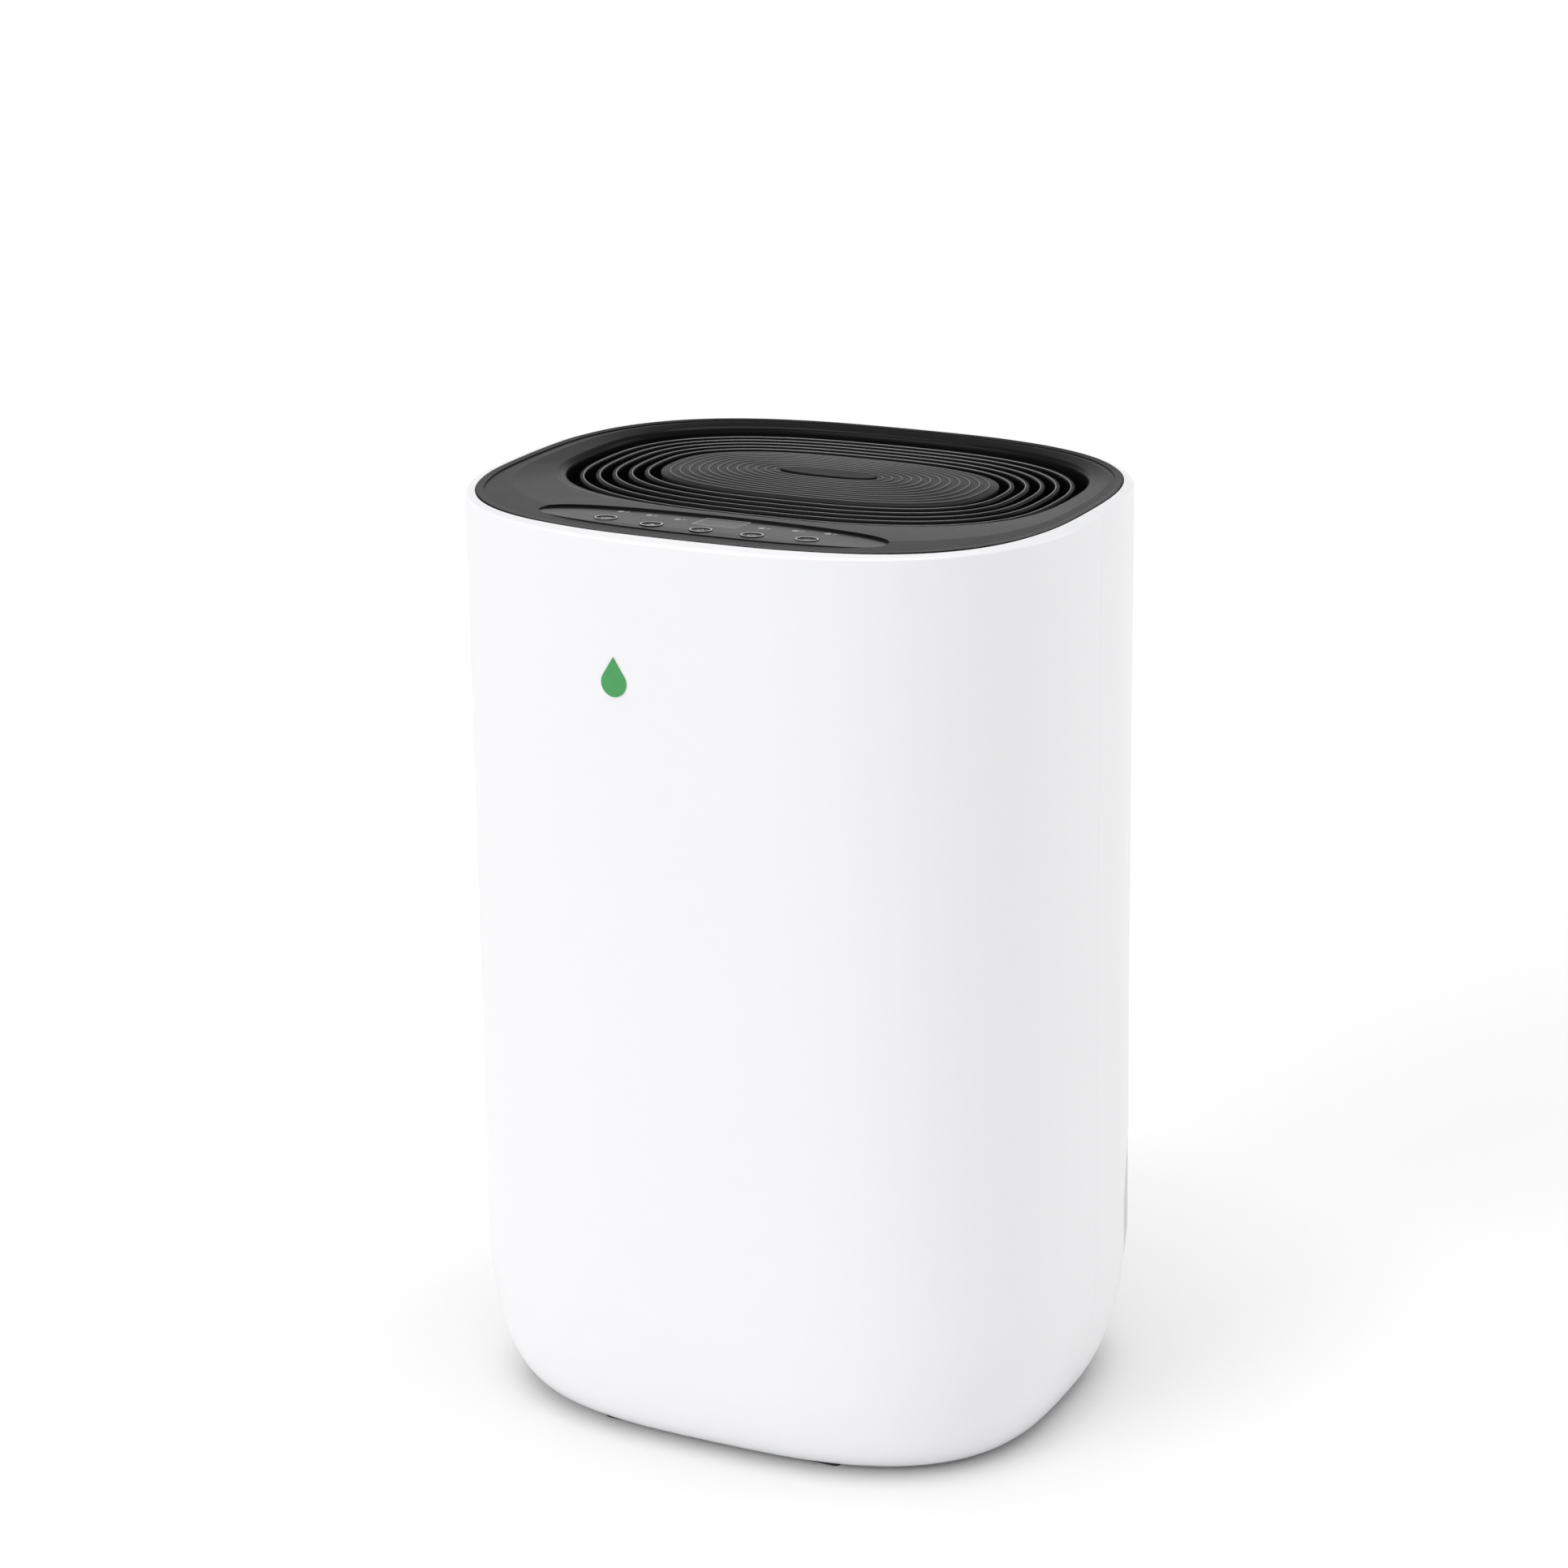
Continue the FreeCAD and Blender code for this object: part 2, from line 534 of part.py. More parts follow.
board = strip_box(BOARD[0], BOARD[1], 0.0, STRIP_Y, BOARD[2], BOARD[3])
leds = [strip_box(1.2, 1.0, side * x, y, BOARD[3], BOARD[3] + 2.0) for x, y in LAMPS for side in (-1, 1)]
save("control_board", fuse([board] + leds))
switches = [strip_box(3.0, 3.0, x, y, BOARD[3], -7.6).fuse(strip_pin(1.7, x, y, -8.0, -7.1))
            for x, y in BUTTONS.values()]
save("tact_switches", Part.makeCompound(switches))
save("display_module", strip_box(WINDOW[0] - 1.0, WINDOW[1] - 1.0, 0.0, WINDOW[2], BOARD[3], -OVERLAY_T - 0.1))


# ---- outlet grille -------------------------------------------------------------------------------
def ring(k):
    """One round-topped vane ring; its centre steps back with each ring."""
    a, b, power, yc = RING_FIRST
    outline = (a - RING_PITCH * k, b - RING_PITCH * k, power, yc + RING_SHIFT * k)
    low, top = RING_Z
    steps = ((low, 0.0), (top - 0.8, 0.0), (top - 0.25, 0.3), (top, 0.8))

    def wall(side, base):
        return stacked([((outline[0] - base - side * i, outline[1] - base - side * i) + outline[2:], z)
                        for z, i in steps])

    inner_wall = wall(-1, RING_W)
    return wall(1, 0.0).cut(inner_wall)


def outlet_grille():
    rings = [ring(k) for k in range(RING_COUNT)]
    frame = prism(OPENING, RIB_Z[0] - 2.0, RIB_Z[1] - 3.0, 0.4).cut(prism(OPENING, 400, 430, 2.6))
    hub = prism(CENTRE, RIB_Z[0], RIB_Z[1], 12.0).cut(prism(CENTRE, 400, 430, 15.0))
    ribs = []
    for i in range(RIB_COUNT):
        turn = 360.0 * (i + 0.5) / RIB_COUNT
        rib = box(20.0, 140.0, -RIB_W / 2, RIB_W / 2, RIB_Z[0], RIB_Z[1])
        rib.rotate(V(0, 0, 0), V(0, 0, 1), turn)
        rib.translate(V(0, OPENING[3], 0))
        ribs.append(rib)
    spokes = fuse(ribs).common(prism(OPENING, 400, 430, 1.0)).cut(prism(CENTRE, 400, 430, 13.5))
    return fuse(rings + [frame, hub, spokes])


save("outlet_grille", outlet_grille())


def grille_plate():
    """Shallow-domed oval plate with fine concentric ridges."""
    low, edge, middle = CENTRE_Z
    rim = (CENTRE[0] - 0.6, CENTRE[1] - 0.6) + CENTRE[2:]
    sections = [(CENTRE, low), (CENTRE, edge - 0.6), (rim, edge)]
    for k in range(RIDGES):
        for part, rise in ((0.30, 0.0), (0.45, 0.85), (0.60, 1.0), (0.75, 0.85), (0.90, 0.0)):
            f = (k + part) / RIDGES
            height = edge + (middle - edge) * (1.0 - (1.0 - f) ** 2)
            sections.append((blend(rim, CENTRE_INNER, f), height + rise * RIDGE_H))
    return stacked(sections)


save("grille_plate", grille_plate())
plaque_z = CENTRE_Z[2]
PLAQUE = (24.0, 6.4, 2.2, CENTRE[3])
save("grille_plaque", stacked([(PLAQUE, plaque_z), (PLAQUE, plaque_z + 0.5),
                               ((PLAQUE[0] - 0.4, PLAQUE[1] - 0.4) + PLAQUE[2:], plaque_z + 0.8)]))


# ---- intake cover and filter ---------------------------------------------------------------------
SLAT_PITCH = 8.2
SLOT_H = 4.6
FILTER = (84.0, 100.0, 104.0, 174.0, 362.0)     # half width, y range, z range
SLOT_BAYS = ((-92.0, -32.0), (-29.0, 29.0), (32.0, 92.0))


def intake_cover():
    """Curved back cover with horizontal air slots, a pull lip at the top and a rear frame."""
    skin = case_body(0.0, 150.0, 400.0).cut(case_body(WALL, 150.0, 400.0))
    cover = skin.common(box(-INTAKE_X, INTAKE_X, 60, 140, INTAKE_Z[0], INTAKE_Z[1]))
    slots = []
    count = int((INTAKE_Z[1] - INTAKE_Z[0] - 24.0) / SLAT_PITCH)
    for i in range(count):
        z = INTAKE_Z[0] + 14.0 + i * SLAT_PITCH
        slots += [box(x0, x1, 60, 140, z, z + SLOT_H) for x0, x1 in SLOT_BAYS]
    cover = cover.cut(Part.makeCompound(slots))
    posts = box(-INTAKE_X, INTAKE_X, FILTER[1] - 1.0, 125, INTAKE_Z[0], INTAKE_Z[1])
    posts = posts.common(case_body(WALL - 0.5, 150.0, 400.0))
    keep = [box(s * 88.0 - 2, s * 88.0 + 2, 60, 130, INTAKE_Z[0] + 4, INTAKE_Z[1] - 4) for s in (-1, 1)]
    keep += [box(-88, 88, 60, 130, z, z + 2) for z in (FILTER[3] - 3, FILTER[4] + 1)]
    cover = cover.fuse(posts.common(fuse(keep)))
    pins = [cylinder(1.5, V(x, HINGE[0], HINGE[1]), V(x + 8, HINGE[0], HINGE[1])) for x in (-44, 36)]
    return fuse([cover] + pins)


save("intake_cover", intake_cover())

half_x, y0, y1, z0, z1 = FILTER
frame_bars = box(-half_x, half_x, y0, y1, z0, z1).cut(box(-half_x + 5, half_x - 5, y0 - 1, y1 + 1, z0 + 5, z1 - 5))
bars = [box(x - 1, x + 1, y0 + 1.8, y1 - 0.6, z0 + 4, z1 - 4) for x in (-42, 0, 42)]
bars += [box(-half_x + 4, half_x - 4, y0 + 1.8, y1 - 0.6, z - 1, z + 1) for z in (z0 + 62, z0 + 126)]
save("filter_frame", fuse([frame_bars] + bars))
save("filter_mesh", box(-half_x + 5, half_x - 5, y0 + 0.9, y0 + 1.7, z0 + 5, z1 - 5))


# ---- evaporator and condenser --------------------------------------------------------------------
PASS_Z = [TUBE_FIRST + TUBE_PITCH * i for i in range(PASSES)]
PLATE_X = (COIL_X + 1.0, COIL_X + 2.0)
STUB_X = -(COIL_X + 6.0)


def fins(y):
    """Stack of thin fins threaded on the tube."""
    count = int(2 * COIL_X / FIN_PITCH)
    blank = box(0, FIN_T, y - COIL_D / 2, y + COIL_D / 2, COIL_Z[0], COIL_Z[1])
    for z in PASS_Z:
        blank = blank.cut(cylinder(TUBE_R + 0.02, V(-1, y, z), V(1, y, z)))
    stack = []
    for i in range(count + 1):
        fin = blank.copy()
        fin.translate(V(-COIL_X + FIN_PITCH * i, 0, 0))
        stack.append(fin)
    return Part.makeCompound(stack)


def serpentine(y):
    """Copper tube going back and forth through the fins; both ends are on the left."""
    r = TUBE_PITCH / 2.0
    edges = []
    side = -1
    start = V(STUB_X, y, PASS_Z[0])
    for i, z in enumerate(PASS_Z):
        turn_x = -side * (COIL_X + 4.0)
        last = i == PASSES - 1
        end = V(STUB_X if last else turn_x, y, z)
        edges.append(Part.LineSegment(start, end).toShape())
        if not last:
            top = V(turn_x, y, z + TUBE_PITCH)
            edges.append(Part.Arc(end, V(turn_x - side * r, y, z + r), top).toShape())
            start = top
        side = -side
    path = Part.Wire(edges)
    circle = Part.Wire(Part.makeCircle(TUBE_R, V(STUB_X, y, PASS_Z[0]), V(1, 0, 0)))
    return path.makePipeShell([circle], True, False)


for name, y in (("evaporator", EVAP_Y), ("condenser", COND_Y)):
    save(name + "_fins", fins(y))
    save(name + "_tube", serpentine(y))

end_plates = []
for side in (-1, 1):
    x0, x1 = sorted((side * PLATE_X[0], side * PLATE_X[1]))
    plate = box(x0, x1, COND_Y - 12, EVAP_Y + 12, COIL_Z[0] - 1, COIL_Z[1] + 4)
    for y in (EVAP_Y, COND_Y):
        for z in PASS_Z:
            plate = plate.cut(cylinder(TUBE_R + 0.05, V(x0 - 1, y, z), V(x1 + 1, y, z)))
    end_plates.append(plate)
save("coil_end_plates", Part.makeCompound(end_plates))


# ---- compressor and refrigerant lines ------------------------------------------------------------
def compressor():
    x, y, r = COMPRESSOR
    z0, z1 = COMPRESSOR_Z
    can = Part.makeCylinder(r, z1 - z0, V(0, 0, z0))
    can = can.makeFillet(14.0, [e for e in can.Edges if e.Length > r and e.BoundBox.ZMin > z1 - 1])
    can = can.makeFillet(8.0, [e for e in can.Edges if e.Length > r and e.BoundBox.ZMax < z0 + 1])
    band = Part.makeCylinder(r + 1.2, 8, V(0, 0, (z0 + z1) / 2 + 18))
    plate = Part.makeCylinder(r - 2, 3, V(0, 0, z0 - 1.0))
    ears = []
    for i in range(3):
        ear = box(r - 14, r + 16, -9, 9, z0 - 1.0, z0 + 2.0)
        ear = ear.makeFillet(5.0, [e for e in ear.Edges if abs(e.tangentAt(0).z) > 0.9])
        ear = ear.cut(cylinder(4.0, V(r + 9, 0, z0 - 5), V(r + 9, 0, z0 + 5)))
        ear.rotate(V(0, 0, 0), V(0, 0, 1), EAR_TURN + 120.0 * i)
        ears.append(ear)
    cap = box(-12, 12, -r - 12, -r + 4, z0 + 40, z0 + 72)
    body = fuse([can, band, plate, cap] + ears)
    body.translate(V(x, y, 0))
    return body


EARS = []
for i in range(3):
    turn = math.radians(EAR_TURN + 120.0 * i)
    reach = COMPRESSOR[2] + 9.0
    EARS.append((COMPRESSOR[0] + reach * math.cos(turn), COMPRESSOR[1] + reach * math.sin(turn)))
save("compressor", compressor())

grommets = []
bolts = []
for x, y in EARS:
    low, high = BASE_TOP, COMPRESSOR_Z[0] + 5.0
    neck = cylinder(3.9, V(x, y, low), V(x, y, high))
    collars = [cylinder(7.0, V(x, y, low), V(x, y, COMPRESSOR_Z[0] - 1.0)),
               cylinder(7.0, V(x, y, COMPRESSOR_Z[0] + 2.0), V(x, y, high))]
    bore = cylinder(2.6, V(x, y, 0), V(x, y, 40))
    grommets.append(fuse([neck] + collars).cut(bore))
    shank = cylinder(2.5, V(x, y, BASE_TOP), V(x, y, high + 0.5))
    bolts.append(shank.fuse(cylinder(6.0, V(x, y, high), V(x, y, high + 3.5))))
save("compressor_grommets", Part.makeCompound(grommets))
save("compressor_bolts", Part.makeCompound(bolts))

cx, cy, cr = COMPRESSOR
SUCTION_R, DISCHARGE_R, CAPILLARY_R = 2.5, 2.0, 1.2
low_z, top_z = PASS_Z[0], PASS_Z[-1]
suction = [V(STUB_X, EVAP_Y, low_z), V(-112, EVAP_Y, low_z), V(-112, EVAP_Y, 162.5), V(-112, cy, 162.5),
           V(-112, cy, SUCTION_Z), V(cx - cr, cy, SUCTION_Z)]
save("suction_line", bent_tube(suction, SUCTION_R, 4.5))
discharge_z = COMPRESSOR_Z[1] - 2.0
discharge = [V(cx, cy - 14, discharge_z), V(cx, cy - 14, 180), V(-121, cy - 14, 180), V(-121, 18, 180),
             V(-121, 18, top_z), V(-121, COND_Y, top_z), V(STUB_X, COND_Y, top_z)]
discharge_line = bent_tube(discharge, DISCHARGE_R, 6.0)
save("discharge_line", discharge_line.cut(compressor()))
DRIER = (-123.0, 34.0, 8.0, 200.0, 250.0)
dx, dy, dr, d0, d1 = DRIER
inlet = [V(STUB_X, COND_Y, low_z), V(-110, COND_Y, low_z), V(-110, dy, low_z), V(dx, dy, low_z), V(dx, dy, d0)]
outlet = [V(dx, dy, d1), V(dx - 3, dy, d1 + 20), V(dx - 3, dy, 340), V(-110, dy, 340), V(-110, EVAP_Y, 340),
          V(-110, EVAP_Y, top_z), V(STUB_X, EVAP_Y, top_z)]
save("capillary_tubes", Part.makeCompound([bent_tube(inlet, CAPILLARY_R, 2.5), bent_tube(outlet, CAPILLARY_R, 2.5)]))
drier = Part.makeCylinder(dr, d1 - d0 - 16, V(dx, dy, d0 + 8))
necks = [Part.makeCone(3.0, dr, 8, V(dx, dy, d0)), Part.makeCone(dr, 3.0, 8, V(dx, dy, d1 - 8))]
save("filter_drier", fuse([drier] + necks))


# ---- fan -----------------------------------------------------------------------------------------
def spiral(grow, points=28):
    """Scroll outline: the radius grows round the wheel to the upward outlet on the right."""
    outline = []
    for i in range(points + 1):
        t = i / points
        angle = math.radians(100.0 + 260.0 * t)
        radius = 80.0 + 34.0 * t + grow
        outline.append(V(radius * math.cos(angle), 0, FAN_Z + radius * math.sin(angle)))
    curve = Part.BSplineCurve()
    curve.interpolate(outline)
    return curve.toShape(), outline[0], outline[-1]


def scroll_block(y0, y1, grow):
    curve, start, end = spiral(grow)
    top = SCROLL_TOP
    right_top = V(end.x, 0, top)
    left_top = V(start.x, 0, top)
    wire = Part.Wire([curve, Part.LineSegment(end, right_top).toShape(),
                      Part.LineSegment(right_top, left_top).toShape(),
                      Part.LineSegment(left_top, start).toShape()])
    face = Part.Face(wire)
    face.translate(V(0, y0, 0))
    return face.extrude(V(0, y1 - y0, 0))


SCROLL_TOP = 382.0
sy0, sy1 = SCROLL_Y
scroll = scroll_block(sy0, sy1, SCROLL_WALL)
cavity = scroll_block(sy0 + SCROLL_WALL, sy1 + 1, 0.0)
cavity = cavity.fuse(box(0.0, 110.0, sy0 + SCROLL_WALL, sy1 + 1, FAN_Z + 60, SCROLL_TOP + 1))
shaft_hole = cylinder(13.0, V(0, sy0 - 5, FAN_Z), V(0, sy0 + 5, FAN_Z))
save("fan_scroll", scroll.cut(cavity).cut(shaft_hole))

INLET_R = 58.0
plate = scroll_block(sy1, sy1 + SCROLL_WALL, SCROLL_WALL)
bell = Part.makeTorus(INLET_R + 3.5, 3.5, V(0, sy1 + 1.0, FAN_Z), V(0, 1, 0))
bell = bell.cut(box(-200, 200, sy1 + SCROLL_WALL, 60, 0, 500))
bell = bell.common(box(-200, 200, sy1 - 2.4, sy1 + SCROLL_WALL, 0, 500))
plate = plate.cut(cylinder(INLET_R + 3.5, V(0, sy1 - 5, FAN_Z), V(0, sy1 + 10, FAN_Z)))
save("fan_inlet_plate", plate.fuse(bell))


def impeller():
    """Forward-curved centrifugal wheel."""
    y0, y1 = WHEEL_Y
    disc = cylinder(WHEEL_R, V(0, y0, FAN_Z), V(0, y0 + 1.6, FAN_Z))
    hub = cylinder(11.0, V(0, y0 - 2, FAN_Z), V(0, y0 + 16, FAN_Z))
    front = cylinder(WHEEL_R, V(0, y1 - 1.6, FAN_Z), V(0, y1, FAN_Z))
    front = front.cut(cylinder(INLET_R + 2.0, V(0, y1 - 3, FAN_Z), V(0, y1 + 1, FAN_Z)))
    inner, outer, bow = INLET_R + 2.5, WHEEL_R - 0.6, 0.6
    turn = math.radians(9.0)
    p0 = V(inner, 0, 0)
    p2 = V(outer * math.cos(turn), 0, outer * math.sin(turn))
    p1 = V((inner + outer) / 2 + bow * 2.0, 0, (p2.z) * 0.28)
    edge = Part.Arc(p0, p1, p2).toShape()
    ribbon = edge.extrude(V(0, y1 - y0 - 1.0, 0))
    blade = ribbon.extrude(V(-0.35, 0, 1.15))
    blade.translate(V(0, y0 + 0.5, FAN_Z))
    blades = []
    for i in range(BLADES):
        copy = blade.copy()
        copy.rotate(V(0, 0, FAN_Z), V(0, 1, 0), 360.0 * i / BLADES)
        blades.append(copy)
    wheel = fuse([disc, hub, front] + blades)
    return wheel.cut(cylinder(SHAFT_R, V(0, -60, FAN_Z), V(0, 60, FAN_Z)))


SHAFT_R = 3.0
MOTOR_Y = (-84.0, -36.0)
MOTOR_R = 40.0
save("fan_impeller", impeller())
save("motor_shaft", cylinder(SHAFT_R, V(0, MOTOR_Y[0] + 6, FAN_Z), V(0, WHEEL_Y[0] + 14, FAN_Z)))


def fan_motor():
    y0, y1 = MOTOR_Y
    can = cylinder(MOTOR_R, V(0, y0, FAN_Z), V(0, y1, FAN_Z))
    can = can.makeFillet(3.0, can.Edges[:1] + can.Edges[2:3]) if can.isValid() else can
    boss = cylinder(12.0, V(0, y1 - 1, FAN_Z), V(0, y1 + 6, FAN_Z))
    ears = [box(-MOTOR_R - 14, MOTOR_R + 14, y1 - 3, y1, FAN_Z - 8, FAN_Z + 8),
            box(-8, 8, y1 - 3, y1, FAN_Z - MOTOR_R - 14, FAN_Z + MOTOR_R + 14)]
    motor = fuse([can, boss] + ears)
    motor = motor.cut(cylinder(SHAFT_R + 0.08, V(0, y0 + 5.5, FAN_Z), V(0, y1 + 10, FAN_Z)))
    for x, z in MOTOR_HOLES:
        motor = motor.cut(cylinder(2.2, V(x, y1 - 6, z), V(x, y1 + 1, z)))
    return motor


hole_r = MOTOR_R + 9.0
MOTOR_HOLES = [(hole_r, FAN_Z), (-hole_r, FAN_Z), (0, FAN_Z + hole_r), (0, FAN_Z - hole_r)]
save("fan_motor", fan_motor())
motor_screws = []
for x, z in MOTOR_HOLES:
    spacer = cylinder(4.0, V(x, MOTOR_Y[1], z), V(x, SCROLL_Y[0], z))
    shank = cylinder(2.0, V(x, MOTOR_Y[1] - 3.2, z), V(x, SCROLL_Y[0], z))
    head = cylinder(4.0, V(x, MOTOR_Y[1] - 6.0, z), V(x, MOTOR_Y[1] - 3.0, z))
    motor_screws.append(fuse([spacer, shank, head]))
save("motor_screws", Part.makeCompound(motor_screws))


def outlet_duct():
    """Funnel that spreads the fan's air under the whole grille."""
    y_mid = (SCROLL_Y[0] + SCROLL_Y[1]) / 2.0

    def solid(grow):
        low = superellipse(DUCT_LOW[0] + grow, DUCT_LOW[1] + grow, DUCT_LOW[2], SCROLL_TOP, y_mid)
        low.translate(V(DUCT_LOW[3], 0, 0))
        high = superellipse(OPENING[0] + grow, OPENING[1] + grow, OPENING[2], THROAT_Z, OPENING[3])
        return Part.makeLoft([low, high], True, True)

    around_grip = box(-GRIP_X - 3.0, GRIP_X + 3.0, GRIP_Y - 3.0, HALF_D, 0, GRIP_Z[1] + 3.0)
    return solid(DUCT_WALL).cut(solid(0.0)).cut(around_grip)


DUCT_LOW = (53.0, 21.0, 4.0, 57.0)      # half width, half depth, exponent and centre x at the scroll
DUCT_WALL = 2.0
save("outlet_duct", outlet_duct())


# ---- electrics -----------------------------------------------------------------------------------
ex0, ex1, ey0, ey1, ez0, ez1 = 36.0, 104.0, -72.0, -14.0, BASE_TOP, 118.0
case_box = box(ex0, ex1, ey0, ey1, ez0, ez1).cut(box(ex0 + 2, ex1 - 2, ey0 + 2, ey1 - 2, ez0 + 2, ez1 - 2))
case_box = case_box.cut(box(ex0 + 20, ex0 + 34, ey1 - 3, ey1 + 1, ez1 - 30, ez1 - 20))
save("board_box", case_box)
main_board = box(ex0 + 4, ex1 - 4, ey0 + 12, ey0 + 13.6, ez0 + 6, ez1 - 6)
chips = [box(ex0 + 14, ex0 + 34, ey0 + 13.6, ey0 + 31, ez0 + 66, ez0 + 86),
         box(ex0 + 40, ex0 + 54, ey0 + 13.6, ey0 + 27, ez0 + 60, ez0 + 90),
         cylinder(8.0, V(ex0 + 20, ey0 + 13, ez0 + 28), V(ex0 + 20, ey0 + 40, ez0 + 28)),
         box(ex0 + 36, ex0 + 56, ey0 + 13.6, ey0 + 25, ez0 + 16, ez0 + 40)]
save("main_board", fuse([main_board] + chips))
capacitor = cylinder(14.0, V(14, -84, BASE_TOP), V(14, -84, 78)).fuse(box(9, 11, -88, -80, 78, 84))
save("run_capacitor", capacitor.fuse(box(17, 19, -88, -80, 78, 84)))
sensor = box(60, 76, 74, 78, COIL_Z[1] + 1.0, COIL_Z[1] + 17.0)
sensor = sensor.fuse(box(60, 76, 74, 88, COIL_Z[1] + 1.0, COIL_Z[1] + 2.5))
save("humidity_sensor", sensor)
save("tank_sensor", box(-96, -80, 5.5, 10.0, 112, 126))


# ---- tank ----------------------------------------------------------------------------------------
def tank_cover():
    """Outer skin of the tank, continuing the casing's form, with a flange for the fingers."""
    low, high = TANK_Z
    full = case_body(0.0, CASE_BOTTOM, 160.0)
    inner = case_body(WALL, CASE_BOTTOM + WALL, 160.0, WALL)
    region = box(-200, 200, TANK_FRONT, 200, low, high)
    skin = full.cut(inner).common(region)
    flange = box(-200, 200, TANK_FRONT, TANK_FRONT + 2.5, low, high).common(full)
    flange = flange.cut(box(-BUCKET_X - 1.5, BUCKET_X + 1.5, 0, 200, 0, 200))
    top = box(-200, 200, TANK_FRONT, 200, high - 2.0, high).common(full)
    top = top.cut(box(-BUCKET_X - 1.5, BUCKET_X + 1.5, 0, 200, 0, 200).common(inner))
    cover = fuse([skin, flange, top])
    window = box(-8, 8, 60, 200, 34, 118)
    window = window.makeFillet(7.0, [e for e in window.Edges if abs(e.tangentAt(0).y) > 0.9])
    return cover.cut(window)


save("tank_cover", tank_cover())


def bucket_form(inset, wall, z0, z1):
    body = case_body(inset, z0, z1, WALL)
    return body.common(box(-BUCKET_X + wall, BUCKET_X - wall, BUCKET_Y + wall, 200, z0, z1))


bucket_outer = bucket_form(WALL + 0.6, 0.0, BUCKET_Z[0], BUCKET_Z[1])
bucket_inner = bucket_form(WALL + 0.6 + BUCKET_WALL, BUCKET_WALL, BUCKET_Z[0] + BUCKET_WALL, BUCKET_Z[1] + 1)
save("tank_bucket", bucket_outer.cut(bucket_inner))

LID_Z = (BUCKET_Z[1], BUCKET_Z[1] + 2.0)
lid = bucket_form(WALL + 0.6, 0.0, LID_Z[0], LID_Z[1])
lid = lid.cut(cylinder(15.0, V(FILL[0], FILL[1], 100), V(FILL[0], FILL[1], 200)))
PIVOT = (30.0, 122.0)
FLOAT_X = (-104.0, -72.0)
lugs = []
for x in (FLOAT_X[0] - 4.4, FLOAT_X[1] + 1.4):
    lug = box(x, x + 3, PIVOT[0] - 4, PIVOT[0] + 4, PIVOT[1] - 4, LID_Z[0] + 0.5)
    lugs.append(lug.cut(cylinder(2.05, V(x - 1, PIVOT[0], PIVOT[1]), V(x + 4, PIVOT[0], PIVOT[1]))))
save("tank_lid", fuse([lid] + lugs))

fx0, fx1 = FLOAT_X
float_block = box(fx0, fx1, 38, 66, 96, 112)
float_block = float_block.makeFillet(3.0, float_block.Edges)
arms = []
for x in (fx0 + 1, fx1 - 4):
    arm = Part.Face(Part.makePolygon([V(x, PIVOT[0] - 3, 119), V(x, PIVOT[0] + 3, 125), V(x, 46, 110),
                                      V(x, 42, 105), V(x, PIVOT[0] - 3, 119)])).extrude(V(3, 0, 0))
    arms.append(arm)
pivot_bar = cylinder(2.0, V(fx0 - 4.0, PIVOT[0], PIVOT[1]), V(fx1 + 4.0, PIVOT[0], PIVOT[1]))
tank_float = fuse([float_block, pivot_bar] + arms)
magnet_hole = cylinder(4.0, V(-88, 37, 104), V(-88, 41, 104))
save("tank_float", tank_float.cut(magnet_hole))
save("float_magnet", cylinder(4.0, V(-88, 38.2, 104), V(-88, 41, 104)))
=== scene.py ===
import json
import math

import bpy
from mathutils import Matrix, Vector


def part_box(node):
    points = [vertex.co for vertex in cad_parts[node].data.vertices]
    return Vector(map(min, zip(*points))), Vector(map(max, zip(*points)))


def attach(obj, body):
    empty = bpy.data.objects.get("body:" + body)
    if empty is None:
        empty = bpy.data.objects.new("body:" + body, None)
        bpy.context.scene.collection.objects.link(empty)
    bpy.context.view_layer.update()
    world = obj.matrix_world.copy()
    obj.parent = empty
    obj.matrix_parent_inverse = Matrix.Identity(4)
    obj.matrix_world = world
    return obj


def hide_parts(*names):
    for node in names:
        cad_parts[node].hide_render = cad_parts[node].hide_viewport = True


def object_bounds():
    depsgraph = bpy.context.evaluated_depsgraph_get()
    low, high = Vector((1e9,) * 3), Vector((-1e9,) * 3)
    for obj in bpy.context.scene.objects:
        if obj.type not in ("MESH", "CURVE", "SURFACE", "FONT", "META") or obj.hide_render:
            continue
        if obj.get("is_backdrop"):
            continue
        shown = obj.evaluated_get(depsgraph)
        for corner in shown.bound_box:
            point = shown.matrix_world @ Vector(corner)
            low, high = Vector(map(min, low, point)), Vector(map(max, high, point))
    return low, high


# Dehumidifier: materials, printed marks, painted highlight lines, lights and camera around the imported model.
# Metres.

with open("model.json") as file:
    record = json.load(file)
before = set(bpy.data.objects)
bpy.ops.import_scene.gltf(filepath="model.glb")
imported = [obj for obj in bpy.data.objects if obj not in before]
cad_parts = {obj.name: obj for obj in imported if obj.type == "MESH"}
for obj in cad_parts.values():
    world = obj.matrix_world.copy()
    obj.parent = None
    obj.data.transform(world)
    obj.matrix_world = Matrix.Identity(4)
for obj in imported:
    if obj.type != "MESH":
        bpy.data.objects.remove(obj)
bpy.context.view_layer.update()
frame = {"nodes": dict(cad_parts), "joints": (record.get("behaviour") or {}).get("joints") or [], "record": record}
nodes = frame["nodes"]
MM = 0.001


